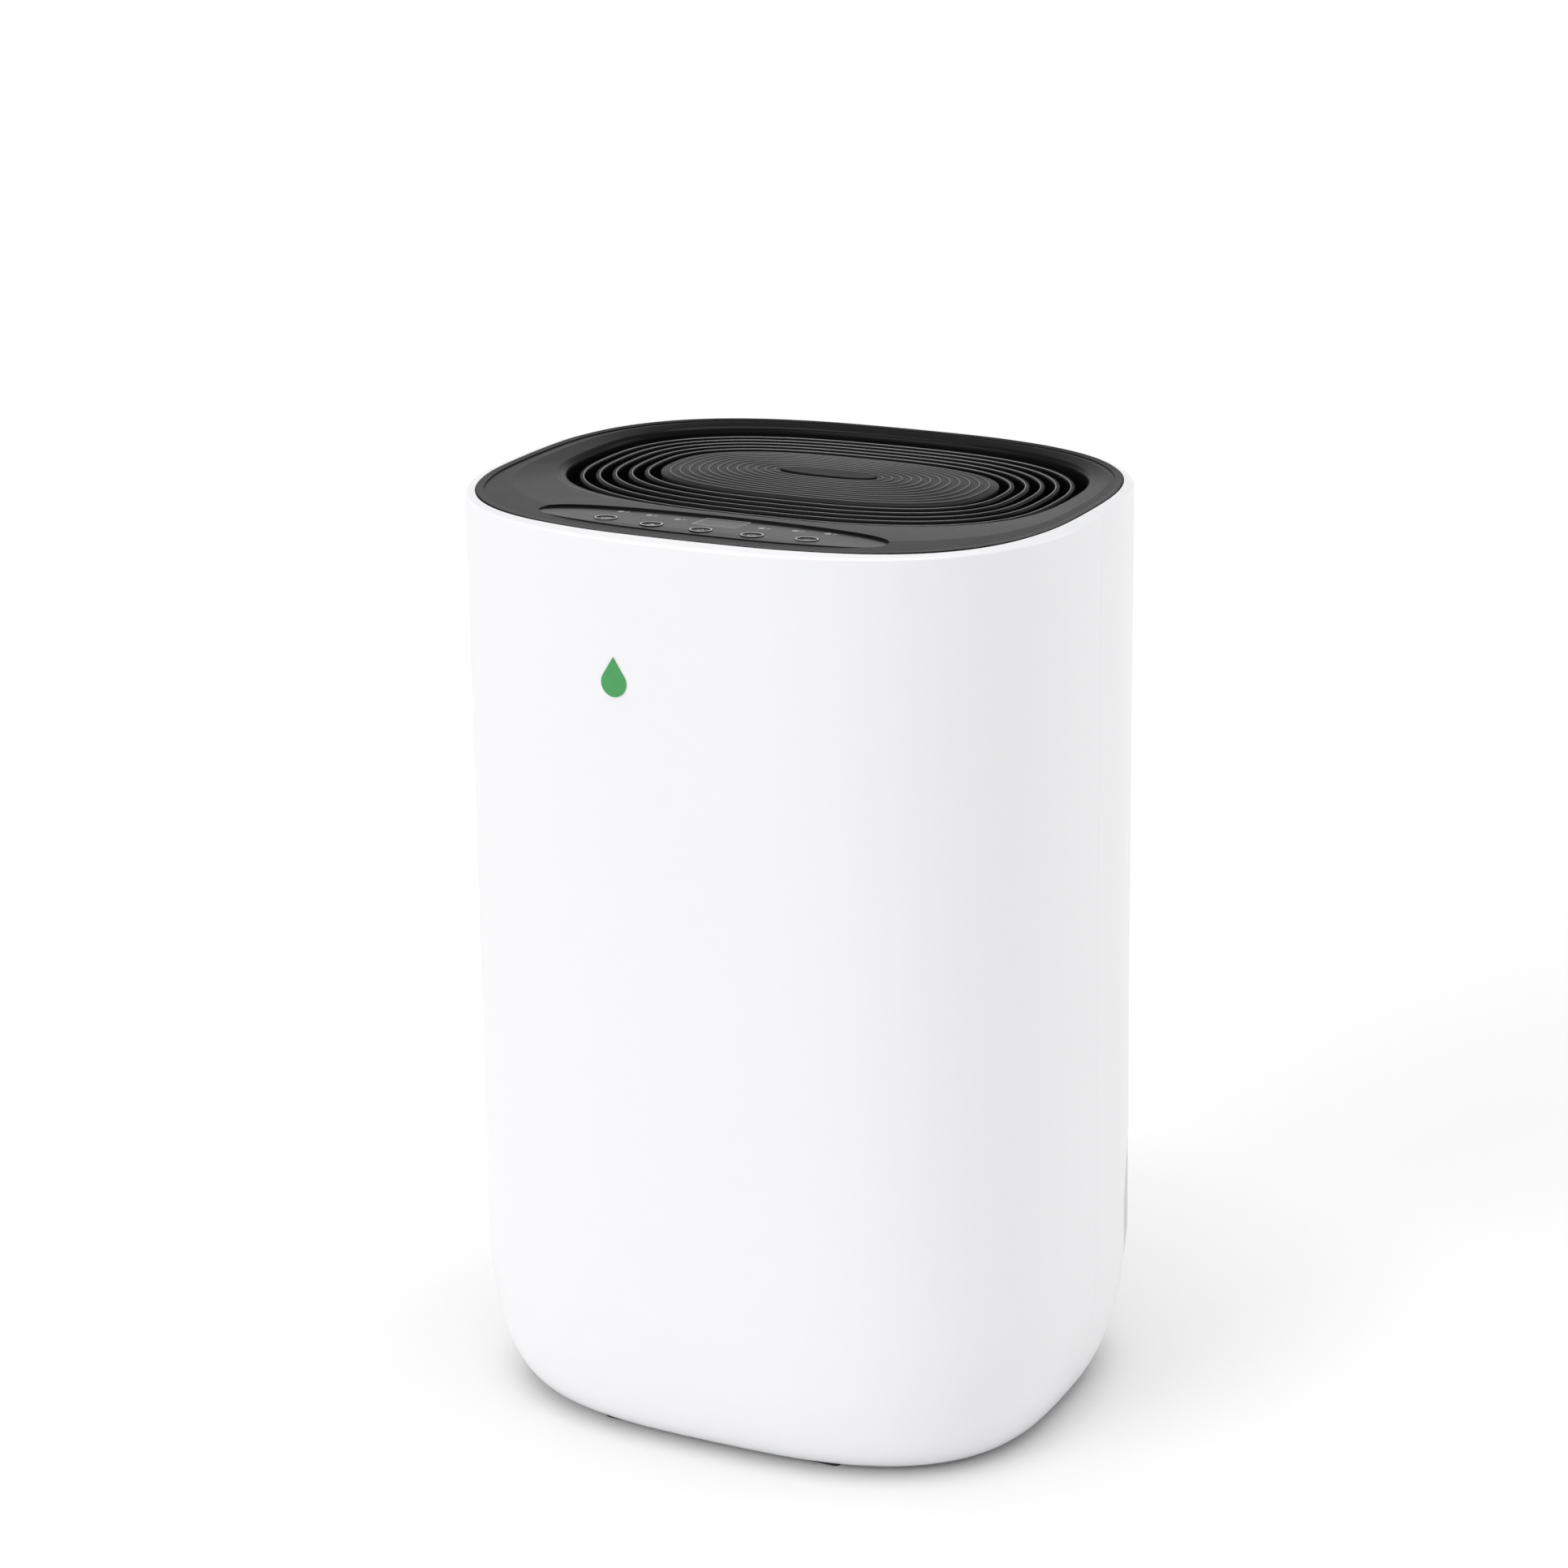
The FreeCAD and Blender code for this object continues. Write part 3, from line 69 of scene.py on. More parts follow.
# ---- material nodes ------------------------------------------------------------------------------
class Finish:
    """One procedural material, built from a principled shader and object-space noise."""

    def __init__(self, name, color, rough, **sockets):
        self.material = bpy.data.materials.new(name)
        self.material.use_nodes = True
        self.tree = self.material.node_tree
        self.shader = self.tree.nodes["Principled BSDF"]
        self.color = color
        self.rough = rough
        self.shader.inputs["Base Color"].default_value = (*color, 1.0)
        self.shader.inputs["Roughness"].default_value = rough
        for socket, value in sockets.items():
            self.shader.inputs[socket.replace("_", " ")].default_value = value
        self.place = self.tree.nodes.new("ShaderNodeTexCoord").outputs["Object"]
        self.normal = None

    def node(self, kind, inputs=(), **settings):
        made = self.tree.nodes.new(kind)
        for key, value in settings.items():
            setattr(made, key, value)
        for key, value in dict(inputs).items():
            if isinstance(value, bpy.types.NodeSocket):
                self.tree.links.new(value, made.inputs[key])
            else:
                made.inputs[key].default_value = value
        return made

    def stretched(self, scale):
        return self.node("ShaderNodeMapping", {"Vector": self.place, "Scale": scale}).outputs["Vector"]

    def noise(self, scale, detail=3.0, where=None):
        """Noise whose features are about 1 / scale metres wide."""
        inputs = {"Vector": where or self.place, "Scale": scale, "Detail": detail}
        return self.node("ShaderNodeTexNoise", inputs).outputs["Fac"]

    def spread(self, value, low, high, start, end):
        """Map start..end of value to low..high."""
        inputs = {"Value": value, "From Min": start, "From Max": end, "To Min": low, "To Max": high}
        return self.node("ShaderNodeMapRange", inputs).outputs["Result"]

    def tint(self, value, other, strength=1.0):
        """Blend the colour towards another one where value is high."""
        mix = self.node("ShaderNodeMix", data_type="RGBA")
        self.tree.links.new(self.spread(value, low=0.0, high=strength, start=0.15, end=0.85), mix.inputs[0])
        mix.inputs[6].default_value = (*self.color, 1.0)
        mix.inputs[7].default_value = (*other, 1.0)
        self.tree.links.new(mix.outputs[2], self.shader.inputs["Base Color"])

    def smudge(self, scale, amount):
        """Vary the roughness gently, as handling and moulding do."""
        patches = self.noise(scale, detail=2.0)
        value = self.spread(patches, low=self.rough - amount, high=self.rough + amount, start=0.0, end=1.0)
        self.tree.links.new(value, self.shader.inputs["Roughness"])

    def bump(self, value, depth):
        """Raise the surface by up to depth where value is high; bumps add up."""
        inputs = {"Height": value, "Distance": depth}
        if self.normal:
            inputs["Normal"] = self.normal
        self.normal = self.node("ShaderNodeBump", inputs).outputs["Normal"]
        self.tree.links.new(self.normal, self.shader.inputs["Normal"])


# ---- one function per material -------------------------------------------------------------------
def white_case():
    made = Finish("white_case", (0.885, 0.885, 0.90), rough=0.30, Coat_Weight=0.25, Coat_Roughness=0.12)
    made.tint(made.noise(6.0, detail=1.0), other=(0.875, 0.877, 0.89))
    made.bump(made.noise(300.0, detail=1.0), depth=0.008 * MM)
    made.bump(made.noise(5200.0, detail=2.0), depth=0.002 * MM)
    return made


def black_panel():
    made = Finish("black_panel", (0.007, 0.007, 0.0073), rough=0.27, Specular_IOR_Level=0.09)
    made.tint(made.noise(30.0), other=(0.0085, 0.0085, 0.009))
    made.smudge(60.0, amount=0.03)
    made.bump(made.noise(5200.0, detail=4.0), depth=0.008 * MM)
    return made


def ring_black():
    made = Finish("ring_black", (0.006, 0.006, 0.0063), rough=0.38, Specular_IOR_Level=0.10)
    made.smudge(90.0, amount=0.04)
    made.bump(made.noise(4500.0), depth=0.006 * MM)
    return made


# Light grey beads on the black outlet rings: a painted highlight along the rings' inner top edges.
def painted_highlight_bead():
    made = Finish("painted_highlight_bead", (0.26, 0.26, 0.263), rough=0.28)
    made.smudge(400.0, amount=0.05)
    made.bump(made.noise(3000.0, detail=2.0), depth=0.004 * MM)
    return made


def plate_black():
    made = Finish("plate_black", (0.018, 0.018, 0.0185), rough=0.36, Specular_IOR_Level=0.12)
    made.smudge(60.0, amount=0.03)
    made.bump(made.noise(5200.0), depth=0.006 * MM)
    return made


# Light grey beads on the centre plate's ridge crests: a painted highlight along each crest.
def painted_highlight_plate_bead():
    made = Finish("painted_highlight_plate_bead", (0.22, 0.22, 0.223), rough=0.32)
    made.smudge(400.0, amount=0.03)
    made.bump(made.noise(3000.0, detail=2.0), depth=0.003 * MM)
    return made


def overlay():
    made = Finish("overlay", (0.009, 0.009, 0.0095), rough=0.24, Specular_IOR_Level=0.11)
    made.tint(made.noise(40.0, detail=1.0), other=(0.0105, 0.0105, 0.011))
    made.smudge(90.0, amount=0.03)
    return made


# Light grey print for signs, lamps and the display outline; the same colour also paints the highlight rings on the
# button caps' rims.
def print_and_painted_highlight():
    made = Finish("print_and_painted_highlight", (0.66, 0.66, 0.67), rough=0.5)
    made.tint(made.noise(2500.0), other=(0.60, 0.60, 0.61))
    return made


def button_black():
    made = Finish("button_cap", (0.010, 0.010, 0.0105), rough=0.30, Specular_IOR_Level=0.15)
    made.smudge(300.0, amount=0.05)
    made.bump(made.noise(6500.0, detail=2.0), depth=0.004 * MM)
    return made


def display_smoke():
    made = Finish("display_smoke", (0.011, 0.011, 0.012), rough=0.20, Specular_IOR_Level=0.12)
    made.smudge(150.0, amount=0.04)
    made.bump(made.noise(600.0), depth=0.001 * MM)
    return made


def lens_clear():
    made = Finish("lens_clear", (0.42, 0.43, 0.45), rough=0.18)
    made.bump(made.noise(3000.0), depth=0.004 * MM)
    return made


def badge_green():
    made = Finish("badge_green", (0.035, 0.33, 0.075), rough=0.22, Coat_Weight=0.5, Coat_Roughness=0.06)
    made.tint(made.noise(150.0), other=(0.028, 0.28, 0.062))
    made.bump(made.noise(900.0), depth=0.006 * MM)
    return made


def pcb_green():
    made = Finish("pcb_green", (0.012, 0.09, 0.035), rough=0.34)
    bricks = made.node("ShaderNodeTexBrick", {"Vector": made.place, "Scale": 90.0, "Mortar Size": 0.06})
    tracks = bricks.outputs["Fac"]
    made.tint(tracks, other=(0.16, 0.14, 0.05), strength=0.8)
    made.bump(tracks, depth=0.03 * MM)
    return made


def moulded(name, color, rough):
    """Plain inner moulding: the same grain for several colours."""
    shade = 0.86
    made = Finish(name, color, rough)
    made.tint(made.noise(45.0), other=tuple(c * shade for c in color))
    made.smudge(80.0, amount=0.05)
    made.bump(made.noise(4200.0, detail=4.0), depth=0.02 * MM)
    return made


def rubber_black():
    made = Finish("rubber_black", (0.022, 0.022, 0.022), rough=0.74, Specular_IOR_Level=0.3)
    made.tint(made.noise(220.0), other=(0.045, 0.044, 0.042))
    made.smudge(140.0, amount=0.08)
    made.bump(made.noise(3000.0, detail=5.0), depth=0.05 * MM)
    return made


def screw_steel():
    made = Finish("screw_steel", (0.60, 0.59, 0.56), rough=0.30, Metallic=1.0)
    made.tint(made.noise(260.0), other=(0.50, 0.49, 0.44))
    made.smudge(400.0, amount=0.09)
    made.bump(made.noise(2200.0), depth=0.01 * MM)
    return made


def fin_aluminium():
    """Bright sheet with drawing lines along Z."""
    made = Finish("fin_aluminium", (0.74, 0.76, 0.78), rough=0.32, Metallic=1.0)
    made.tint(made.noise(70.0), other=(0.60, 0.62, 0.64))
    made.smudge(120.0, amount=0.08)
    made.bump(made.noise(900.0, where=made.stretched((1.0, 1.0, 0.05))), depth=0.02 * MM)
    return made


def copper():
    made = Finish("copper", (0.72, 0.36, 0.22), rough=0.30, Metallic=1.0)
    made.tint(made.noise(85.0, detail=5.0), other=(0.34, 0.15, 0.09), strength=0.8)
    made.smudge(160.0, amount=0.1)
    made.bump(made.noise(1400.0), depth=0.015 * MM)
    return made


def compressor_black():
    made = Finish("compressor_black", (0.02, 0.02, 0.022), rough=0.34, Coat_Weight=0.3, Coat_Roughness=0.2)
    made.tint(made.noise(55.0, detail=4.0), other=(0.034, 0.034, 0.036))
    made.smudge(70.0, amount=0.06)
    made.bump(made.noise(1300.0), depth=0.03 * MM)
    return made


def motor_steel():
    """Drawn can with lines along its Y axis."""
    made = Finish("motor_steel", (0.50, 0.50, 0.51), rough=0.36, Metallic=1.0)
    made.tint(made.noise(60.0, detail=4.0), other=(0.40, 0.40, 0.41))
    made.smudge(150.0, amount=0.08)
    made.bump(made.noise(1500.0, where=made.stretched((1.0, 0.04, 1.0))), depth=0.02 * MM)
    return made


def filter_net():
    """Woven net: two crossed wave sets shade and raise the surface."""
    made = Finish("filter_net", (0.06, 0.06, 0.064), rough=0.62)
    threads = []
    for direction in ("X", "Z"):
        wave = made.node("ShaderNodeTexWave", {"Vector": made.place, "Scale": 190.0},
                         wave_type="BANDS", bands_direction=direction)
        threads.append(wave.outputs["Fac"])
    highest = made.node("ShaderNodeMath", {0: threads[0], 1: threads[1]}, operation="MAXIMUM")
    woven = highest.outputs["Value"]
    made.tint(woven, other=(0.19, 0.19, 0.20))
    made.bump(woven, depth=0.25 * MM)
    return made


def tank_smoke():
    made = Finish("tank_smoke", (0.50, 0.54, 0.57), rough=0.36, Transmission_Weight=0.40, IOR=1.49)
    made.smudge(30.0, amount=0.05)
    made.bump(made.noise(2200.0, detail=2.0), depth=0.002 * MM)
    return made


def float_white():
    """Foam with fine open cells."""
    made = Finish("float_white", (0.80, 0.80, 0.77), rough=0.85)
    cells = made.node("ShaderNodeTexVoronoi", {"Vector": made.place, "Scale": 650.0})
    made.tint(made.noise(120.0), other=(0.73, 0.73, 0.69))
    made.bump(cells.outputs["Distance"], depth=0.12 * MM)
    return made


def magnet_dark():
    made = Finish("magnet_dark", (0.055, 0.055, 0.058), rough=0.45, Metallic=0.6)
    made.tint(made.noise(700.0), other=(0.09, 0.09, 0.095))
    made.bump(made.noise(2600.0, detail=4.0), depth=0.02 * MM)
    return made


FINISHES = {
    "white_case": white_case(),
    "black_panel": black_panel(),
    "ring_black": ring_black(),
    "painted_highlight_bead": painted_highlight_bead(),
    "plate_black": plate_black(),
    "painted_highlight_plate_bead": painted_highlight_plate_bead(),
    "overlay": overlay(),
    "button_black": button_black(),
    "display_smoke": display_smoke(),
    "lens_clear": lens_clear(),
    "badge_green": badge_green(),
    "pcb_green": pcb_green(),
    "switch_black": moulded("switch_black", (0.03, 0.03, 0.032), rough=0.42),
    "inner_grey": moulded("inner_grey", (0.40, 0.41, 0.42), rough=0.48),
    "fan_grey": moulded("fan_grey", (0.07, 0.07, 0.075), rough=0.40),
    "rubber_black": rubber_black(),
    "screw_steel": screw_steel(),
    "fin_aluminium": fin_aluminium(),
    "copper": copper(),
    "compressor_black": compressor_black(),
    "motor_steel": motor_steel(),
    "filter_frame_grey": moulded("filter_frame_grey", (0.12, 0.12, 0.125), rough=0.46),
    "filter_net": filter_net(),
    "tank_smoke": tank_smoke(),
    "float_white": float_white(),
    "magnet_dark": magnet_dark(),
    "print_and_painted_highlight": print_and_painted_highlight(),
}
SLOT_OF = {part["node"]: part["material_slot"] for part in frame["record"]["subparts"]}
for name, obj in nodes.items():
    obj.data.materials.clear()
    obj.data.materials.append(FINISHES[SLOT_OF[name]].material)
for name in ("outlet_grille", "grille_plaque"):
    nodes[name].data.materials[0] = FINISHES["ring_black"].material


# ---- making pieces -------------------------------------------------------------------------------
def made_mesh(name, verts, faces, finish, body):
    mesh = bpy.data.meshes.new(name)
    mesh.from_pydata(verts, [], faces)
    mesh.validate()
    obj = bpy.data.objects.new(name, mesh)
    bpy.context.collection.objects.link(obj)
    mesh.materials.append(FINISHES[finish].material)
    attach(obj, body)
    return obj


LOOP_POINTS = 256
BEAD_SIDES = 8


def superellipse(half_x, half_y, power, centre_y, z):
    """Closed loop of points; sizes in millimetres, points in metres."""
    loop = []
    for i in range(LOOP_POINTS):
        turn = 2.0 * math.pi * i / LOOP_POINTS
        c, s = math.cos(turn), math.sin(turn)
        x = half_x * math.copysign(abs(c) ** (2.0 / power), c)
        y = half_y * math.copysign(abs(s) ** (2.0 / power), s)
        loop.append(Vector((x, centre_y + y, z)) * MM)
    return loop


def swept_loops(name, loops, radius, finish):
    """Fine round bead swept along each closed loop of points, in metres."""
    verts, faces = [], []
    for loop in loops:
        count = len(loop)
        base = len(verts)
        for i, point in enumerate(loop):
            run = (loop[(i + 1) % count] - loop[i - 1]).normalized()
            side = run.cross(Vector((0.0, 0.0, 1.0))).normalized()
            for k in range(BEAD_SIDES):
                turn = 2.0 * math.pi * k / BEAD_SIDES
                lift = Vector((0.0, 0.0, radius * math.sin(turn)))
                verts.append(point + side * (radius * math.cos(turn)) + lift)
        for i in range(count):
            here = base + BEAD_SIDES * i
            there = base + BEAD_SIDES * ((i + 1) % count)
            for k in range(BEAD_SIDES):
                after = (k + 1) % BEAD_SIDES
                faces.append((here + k, there + k, there + after, here + after))
    obj = made_mesh(name, verts, faces, finish, "casing")
    for polygon in obj.data.polygons:
        polygon.use_smooth = True


# ---- printed marks and painted highlight rings on the control strip ------------------------------
PRESS = next(j for j in frame["joints"] if j["name"] == "press_power")
OUT = -Vector(PRESS["axis"]).normalized()        # out of the control strip
ACROSS = Vector((1.0, 0.0, 0.0))
ALONG = OUT.cross(ACROSS)                        # up the strip, towards the back
INK = 0.05                                       # thickness of the print and of the painted highlight rings, millimetres like all below
SIGN_LINE = 0.34
CAP_HIGHLIGHT_LINE = 0.5
CAP_HIGHLIGHT_IN = 0.34                                   # from a cap's edge to the middle of its light ring, a painted highlight on the cap's rim
LAMP_LINE = 0.26
WINDOW_LINE = 0.42
WINDOW_GAP = 0.35                                # from the display window to its printed outline
CAP_R = 5.0                                      # button cap, its rim and its dished middle
RIM_R = CAP_R - 0.9
DISH_R = CAP_R - 2.5
RIM_LEVEL = 0.3                                  # levels above the strip's surface
SLOPE_LEVEL = 0.05
DISH_LEVEL = -0.1
MIDDLE_LEVEL = -0.15
LAMP_PLACES = ((20.3, -78.6), (35.3, -76.3), (49.9, -75.0))


def strip_point(origin, x, y, z):
    return origin + (ACROSS * x + ALONG * y + OUT * z) * MM


def flat(x, y):
    return 0.0


def line_ends(points, i, closed):
    """The points before and after point i, which is its own neighbour at an open end."""
    before = points[i - 1] if closed or i else points[i]
    after = points[(i + 1) % len(points)] if closed or i < len(points) - 1 else points[i]
    return before, after


def stroke(name, origin, lines, width, body, height=flat):
    """Raised light lines of (x, y) on the strip: print, and the painted highlight rings round the button caps; a
    line that ends where it began is closed.
    """
    verts, faces = [], []
    for line in lines:
        closed = line[0] == line[-1]
        points = line[:-1] if closed else line
        count = len(points)
        base = len(verts)
        for i, (x, y) in enumerate(points):
            before, after = line_ends(points, i, closed)
            dx, dy = after[0] - before[0], after[1] - before[1]
            length = math.hypot(dx, dy) or 1.0
            side_x, side_y = -dy / length * width / 2.0, dx / length * width / 2.0
            z = height(x, y)
            for side, lift in ((1, 0.0), (1, INK), (-1, INK), (-1, 0.0)):
                verts.append(strip_point(origin, x + side * side_x, y + side * side_y, z + lift))
        for i in range(count if closed else count - 1):
            here, there = base + 4 * i, base + 4 * ((i + 1) % count)
            for k in range(4):
                faces.append((here + k, here + (k + 1) % 4, there + (k + 1) % 4, there + k))
        if not closed:
            last = base + 4 * (count - 1)
            faces.append((base, base + 3, base + 2, base + 1))
            faces.append((last, last + 1, last + 2, last + 3))
    made_mesh(name, verts, faces, "print_and_painted_highlight", body)


def arc(radius, start, end, y=0.0, steps=24):
    turns = [math.radians(start + (end - start) * i / steps) for i in range(steps + 1)]
    return [(radius * math.cos(t), y + radius * math.sin(t)) for t in turns]


def circle(radius, steps=32):
    points = arc(radius, 0.0, 360.0, steps=steps)
    return points[:-1] + points[:1]


def fan_blade(turn):
    """One leaf of a three-bladed fan sign, turned about its middle."""
    root, reach, steps = 0.35, 1.75, 12
    upper, lower = [], []
    for i in range(steps + 1):
        share = i / steps
        bulge = math.sin(math.pi * share)
        x, y = root + reach * share, 0.62 * bulge + 0.25 * share
        upper.append((x, y))
        lower.append((x, y - 0.675 * bulge))
    leaf = upper + lower[-2:0:-1] + upper[:1]
    c, s = math.cos(math.radians(turn)), math.sin(math.radians(turn))
    return [(c * x - s * y, s * x + c * y) for x, y in leaf]


def drop_sign():
    tip = (0.0, 2.1)
    bulb = arc(1.25, 150.0, 390.0, y=-0.55, steps=26)
    return [tip] + bulb + [tip]


SIGNS = {
    "timer": [circle(1.9), [(0.0, 1.15), (0.0, 0.0), (0.85, -0.5)]],
    "fan": [circle(0.3, steps=12), fan_blade(90.0), fan_blade(210.0), fan_blade(330.0)],
    "humidity": [drop_sign()],
    "power": [arc(1.7, 125.0, 415.0), [(0.0, 0.4), (0.0, 2.1)]],
    "mode": [[(-1.3, 0.0), (1.3, 0.0)]],
}


def cap_height(x, y):
    """Level of a button cap: its dished middle, the slope around it and its rim."""
    r = math.hypot(x, y)
    if r <= DISH_R:
        return MIDDLE_LEVEL + (DISH_LEVEL - MIDDLE_LEVEL) * r / DISH_R
    if r < RIM_R:
        return DISH_LEVEL + (SLOPE_LEVEL - DISH_LEVEL) * (r - DISH_R) / (RIM_R - DISH_R)
    return RIM_LEVEL


def button_origin(node):
    """Point of the strip's surface in the middle of a button, in metres."""
    low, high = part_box(node)
    middle = (low + high) / 2.0
    top = high.z - RIM_LEVEL * MM - CAP_R * MM * math.sqrt(1.0 - OUT.z ** 2)
    return middle + OUT * ((top - middle.z) / OUT.z)


STRIP_ORIGIN = button_origin("button_power")


def on_strip(x, y):
    """Point of the strip's surface above x and y, in metres."""
    return Vector((x, y, STRIP_ORIGIN.z - OUT.y * (y - STRIP_ORIGIN.y) / OUT.z))


def button_marks():
    ring = circle(CAP_R - CAP_HIGHLIGHT_IN, steps=64)
    for sign, lines in SIGNS.items():
        node = "button_" + sign
        origin = button_origin(node)
        stroke("sign_" + sign, origin, lines, SIGN_LINE, node, cap_height)
        # Light ring round each cap: a painted highlight on the cap's rim, not print.
        stroke("ring_" + sign, origin, [ring], CAP_HIGHLIGHT_LINE, node, cap_height)


def lamp_marks():
    """A small circle round each lamp and two dashes beside it."""
    lines = [circle(1.35), [(2.3, 0.55), (4.3, 0.55)], [(2.3, -0.35), (3.6, -0.35)]]
    for i, (x, y) in enumerate(LAMP_PLACES):
        for side, word in ((-1, "left"), (1, "right")):
            origin = on_strip(side * x * MM, y * MM)
            stroke("lamp_mark_%s_%d" % (word, i + 1), origin, lines, LAMP_LINE, "casing")


def window_outline():
    low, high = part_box("display_window")
    middle = on_strip((low.x + high.x) / 2.0, (low.y + high.y) / 2.0)
    x = (high.x - low.x) / 2.0 / MM + WINDOW_GAP
    y = (high.y - low.y) / 2.0 / MM + WINDOW_GAP
    outline = [(-x, -y), (x, -y), (x, y), (-x, y), (-x, -y)]
    stroke("display_outline", middle, [outline], WINDOW_LINE, "casing")


button_marks()
lamp_marks()
window_outline()


# ---- light grey beads on the outlet's rings, a painted highlight along their inner edges -----------
RINGS = 5
RING_HALF_X, RING_HALF_Y = 113.6, 75.4           # outer outline of the outermost ring
RING_POWER = 2.6
RING_CENTRE_Y = 26.0
RING_PITCH = 6.72
RING_SHIFT = 0.66                                # each ring sits this much behind the one around it
RING_W = 2.2
RING_BEAD_R = 0.24
BEAD_IN = 0.42                                   # from a ring's inner edge, and from its top
BEAD_DOWN = 0.16
GRILLE_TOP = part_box("outlet_grille")[1].z / MM


def ring_edge(k):
    reach = RING_PITCH * k + RING_W - BEAD_IN
    return superellipse(RING_HALF_X - reach, RING_HALF_Y - reach, RING_POWER, RING_CENTRE_Y + RING_SHIFT * k,
                        GRILLE_TOP - BEAD_DOWN)


# Each bead's light grey colour is a painted highlight of the ring's inner edge.
swept_loops("ring_highlight_beads", [ring_edge(k) for k in range(RINGS)], RING_BEAD_R * MM, "painted_highlight_bead")


# ---- ridged centre plate ---------------------------------------------------------------------------
PLATE_LOW, PLATE_HIGH = (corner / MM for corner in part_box("grille_plate"))
PLATE_HALF_X = (PLATE_HIGH.x - PLATE_LOW.x) / 2.0
PLATE_HALF_Y = (PLATE_HIGH.y - PLATE_LOW.y) / 2.0
PLATE_POWER = 2.6
PLATE_CENTRE_Y = (PLATE_HIGH.y + PLATE_LOW.y) / 2.0
PLATE_INNER = (26.0, 8.6, 2.3, PLATE_CENTRE_Y)   # outline of the smooth middle, as for superellipse
ROUNDING = 0.6                                   # the plate's edge draws in by this much towards its top
PLATE_RIM = (PLATE_HALF_X - ROUNDING, PLATE_HALF_Y - ROUNDING, PLATE_POWER, PLATE_CENTRE_Y)
DOME = 1.8                                       # rise of the plate from its edge to its middle
RIDGES = 12
RIDGE_H = 0.16
RIDGE_CREST = 0.87                               # a ridge's top, as a share of the pitch
RIDGE_PROFILE = ((0.0, 0.0), (0.76, 0.0), (0.80, 0.45), (0.84, 0.85), (RIDGE_CREST, 1.0), (0.90, 0.85),
                 (0.94, 0.45))
PLATE_BEAD_R = 0.15
TOP_ROOM = 0.6                                   # from the dome's middle up to the box it stays in
EDGE_Z = PLATE_HIGH.z - TOP_ROOM - DOME
SIDE_SHARE = 0.02                                # the rounded side takes this much below share 0
SIDE_LEVELS = ((-SIDE_SHARE, PLATE_LOW.z - EDGE_Z), (-SIDE_SHARE, -0.7), (-0.017, -0.35), (-0.010, -0.1))


def dome_rise(share):
    """Height of the dome at a share of the way from the rim to the smooth middle."""
    return DOME * (1.0 - (1.0 - share) ** 2)


def plate_loop(share, height):
    if share > 0.0:
        outline = [rim + (inner - rim) * share for rim, inner in zip(PLATE_RIM, PLATE_INNER)]
    else:
        out = ROUNDING * min(1.0, -share / SIDE_SHARE)
        outline = (PLATE_RIM[0] + out, PLATE_RIM[1] + out, *PLATE_RIM[2:])
    return superellipse(*outline, EDGE_Z + height)


def ridged_plate():
    """Shallow dome with fine raised concentric lines, closed underneath."""
    levels = list(SIDE_LEVELS)
    for k in range(RIDGES):
        for part, rise in RIDGE_PROFILE:
            share = (k + part) / RIDGES
            levels.append((share, dome_rise(share) + rise * RIDGE_H))
    levels.append((1.0, DOME))
    verts, faces = [], []
    for share, height in levels:
        verts += plate_loop(share, height)
    for r in range(len(levels) - 1):
        here, above = r * LOOP_POINTS, (r + 1) * LOOP_POINTS
        for i in range(LOOP_POINTS):
            j = (i + 1) % LOOP_POINTS
            faces.append((here + i, here + j, above + j, above + i))
    faces.append(tuple(reversed(range(LOOP_POINTS))))
    faces.append(tuple(range((len(levels) - 1) * LOOP_POINTS, len(levels) * LOOP_POINTS)))
    obj = made_mesh("ridged_plate", verts, faces, "plate_black", "casing")
    for polygon in obj.data.polygons[:-2]:
        polygon.use_smooth = True
    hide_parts("grille_plate")


def crest_line(k):
    share = (k + RIDGE_CREST) / RIDGES
    return plate_loop(share, dome_rise(share) + RIDGE_H)


ridged_plate()
# Light grey beads along the ridge crests: a painted highlight on each ridge's top.
swept_loops("plate_highlight_beads", [crest_line(k) for k in range(RIDGES)], PLATE_BEAD_R * MM, "painted_highlight_plate_bead")


# ---- floor, lights and camera --------------------------------------------------------------------
TARGET = Vector((0.0, 0.0, 0.216))
FLOOR_HALF = 25.0
SENSOR = 36.0                                    # sensor width and lens, millimetres
LENS = 89.25
SHIFT_X, SHIFT_Y = -0.0136, 0.0982
AZIMUTH, ELEVATION, ROLL = (math.radians(v) for v in (26.21, 19.93, -0.685))
DISTANCE = 1.8068
SKY_FADE = {"From Min": 0.12, "From Max": 0.5, "To Min": 0.84, "To Max": 0.16}    # height to strength


def direction(azimuth, elevation):
    """Unit vector towards an azimuth, from the front and turning to +X, and a height above the floor."""
    flat_part = math.cos(elevation)
    return Vector((math.sin(azimuth) * flat_part, -math.cos(azimuth) * flat_part, math.sin(elevation)))


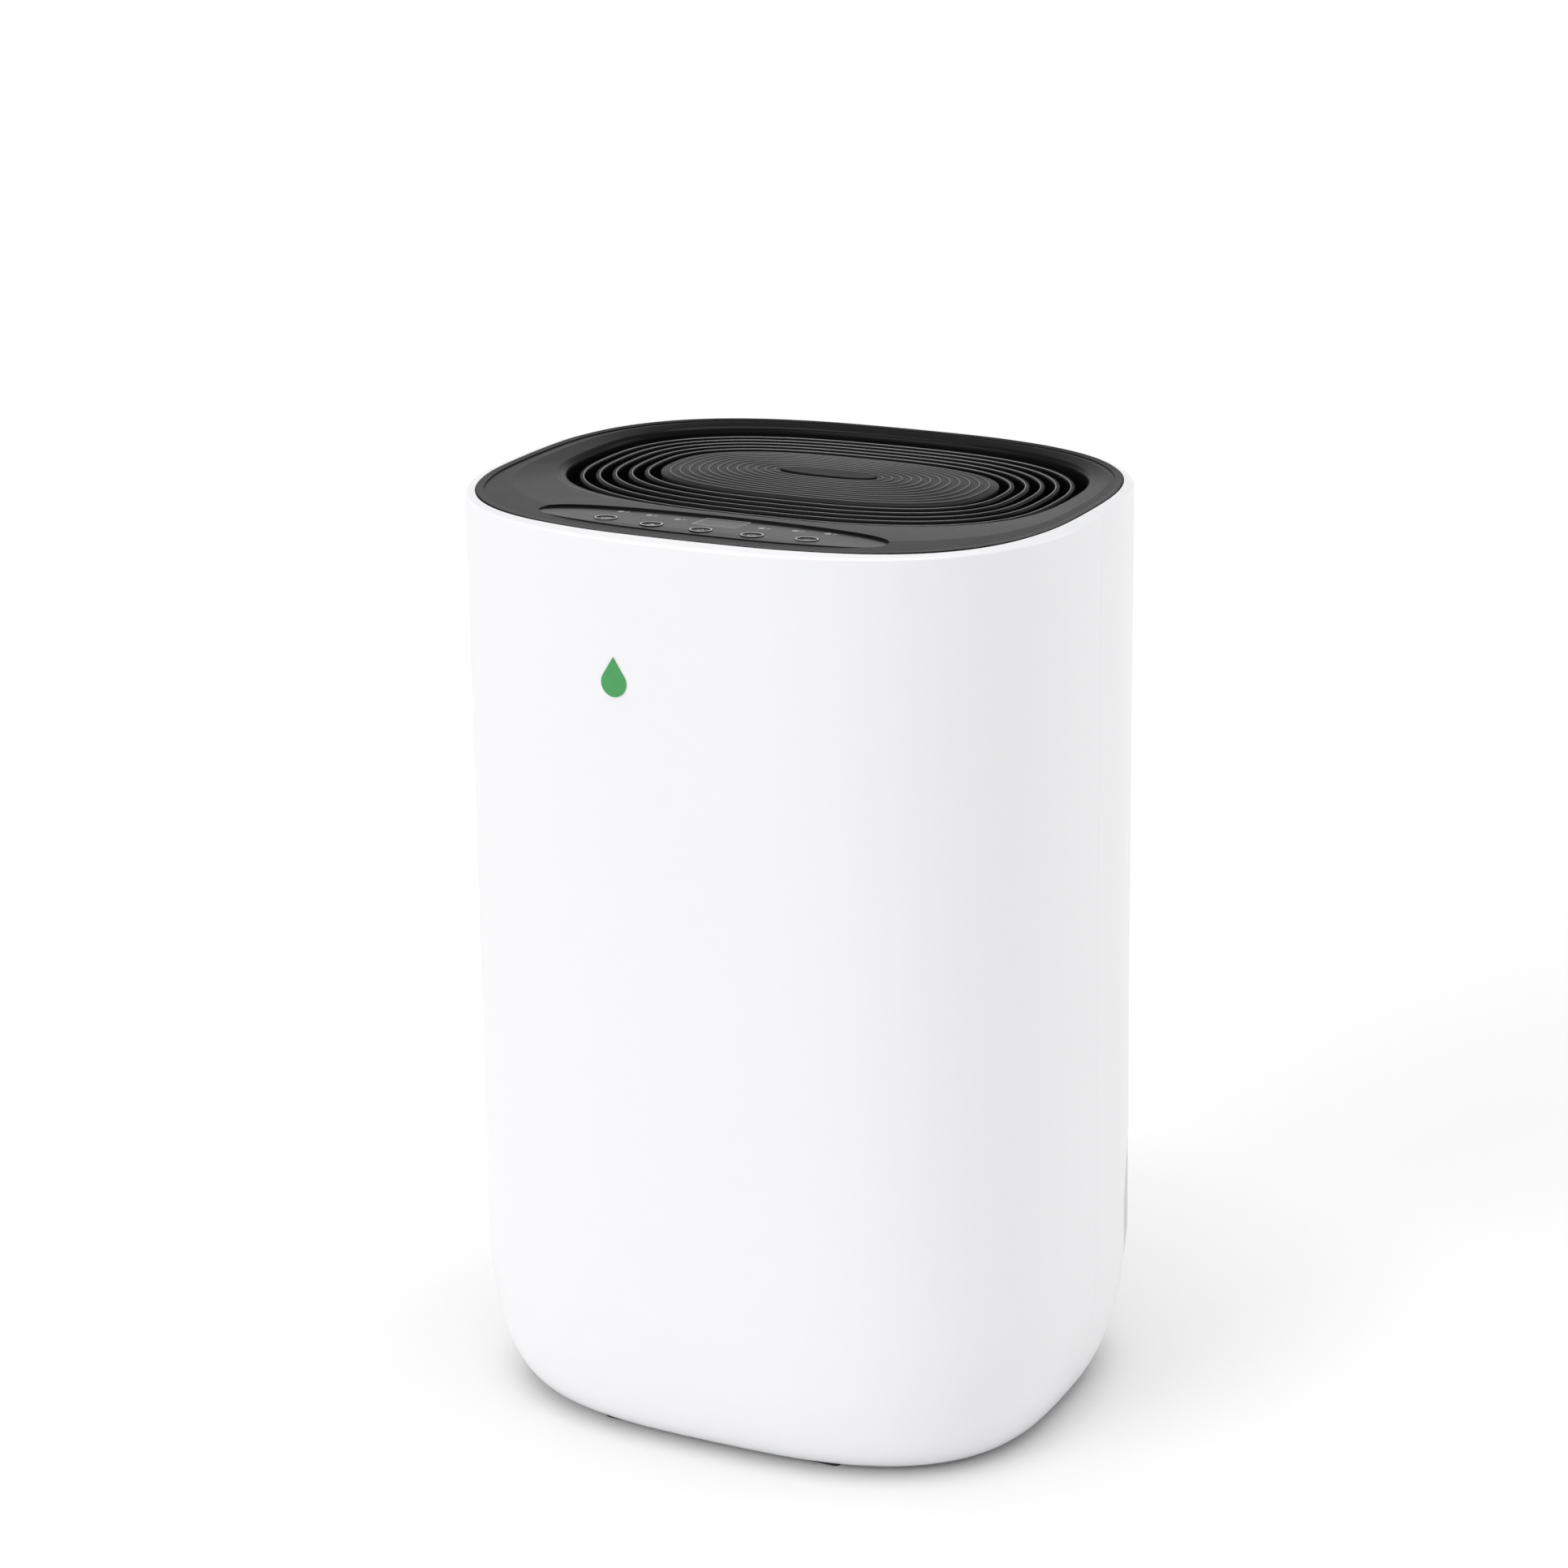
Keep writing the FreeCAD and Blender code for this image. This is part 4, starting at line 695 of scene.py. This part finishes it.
def floor():
    corners = [(-FLOOR_HALF, -FLOOR_HALF, 0), (FLOOR_HALF, -FLOOR_HALF, 0), (FLOOR_HALF, FLOOR_HALF, 0),
               (-FLOOR_HALF, FLOOR_HALF, 0)]
    mesh = bpy.data.meshes.new("floor")
    mesh.from_pydata(corners, [], [(0, 1, 2, 3)])
    obj = bpy.data.objects.new("floor", mesh)
    obj.location.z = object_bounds()[0].z
    bpy.context.collection.objects.link(obj)
    made = Finish("floor_pale", (0.93, 0.93, 0.93), rough=0.8, Specular_IOR_Level=0.1)
    made.tint(made.noise(0.6, detail=0.0), other=(0.927, 0.927, 0.927))
    mesh.materials.append(made.material)
    obj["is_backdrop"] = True


def soft_light(name, azimuth, elevation, spread, strength):
    """Very large, distant soft light; spread is the angle it fills. Angles in degrees."""
    data = bpy.data.lights.new(name, "SUN")
    data.energy = strength
    data.angle = math.radians(spread)
    obj = bpy.data.objects.new(name, data)
    away = direction(math.radians(azimuth), math.radians(elevation))
    obj.location = TARGET + away
    obj.rotation_mode = "QUATERNION"
    obj.rotation_quaternion = (-away).to_track_quat("-Z", "Y")
    bpy.context.collection.objects.link(obj)


def studio_sky():
    """White surroundings, bright at the horizon and dimmer overhead."""
    world = bpy.data.worlds.new("studio")
    world.use_nodes = True
    sky = world.node_tree.nodes
    links = world.node_tree.links
    height = sky.new("ShaderNodeSeparateXYZ")
    fade = sky.new("ShaderNodeMapRange")
    for socket, value in SKY_FADE.items():
        fade.inputs[socket].default_value = value
    links.new(sky.new("ShaderNodeTexCoord").outputs["Generated"], height.inputs[0])
    links.new(height.outputs["Z"], fade.inputs["Value"])
    links.new(fade.outputs["Result"], sky["Background"].inputs["Strength"])
    sky["Background"].inputs["Color"].default_value = (1.0, 1.0, 1.0, 1.0)
    bpy.context.scene.world = world


def camera():
    data = bpy.data.cameras.new("camera")
    data.sensor_width = SENSOR
    data.lens = LENS
    data.shift_x = SHIFT_X
    data.shift_y = SHIFT_Y
    obj = bpy.data.objects.new("camera", data)
    bpy.context.collection.objects.link(obj)
    back = direction(AZIMUTH, ELEVATION)
    right = Vector((math.cos(AZIMUTH), math.sin(AZIMUTH), 0.0))
    up = back.cross(right)
    rolled_right = right * math.cos(ROLL) + up * math.sin(ROLL)
    rolled_up = up * math.cos(ROLL) - right * math.sin(ROLL)
    rotation = Matrix((rolled_right, rolled_up, back)).transposed()
    obj.matrix_world = Matrix.Translation(TARGET + back * DISTANCE) @ rotation.to_4x4()
    bpy.context.scene.camera = obj


floor()
soft_light("key_left", azimuth=-28.0, elevation=22.0, spread=40.0, strength=0.92)
soft_light("fill_right", azimuth=128.0, elevation=12.0, spread=35.0, strength=0.50)
soft_light("top", azimuth=0.0, elevation=88.0, spread=50.0, strength=2.3)
studio_sky()
bpy.context.scene.view_settings.view_transform = "Standard"
bpy.context.scene.view_settings.look = "None"
camera()
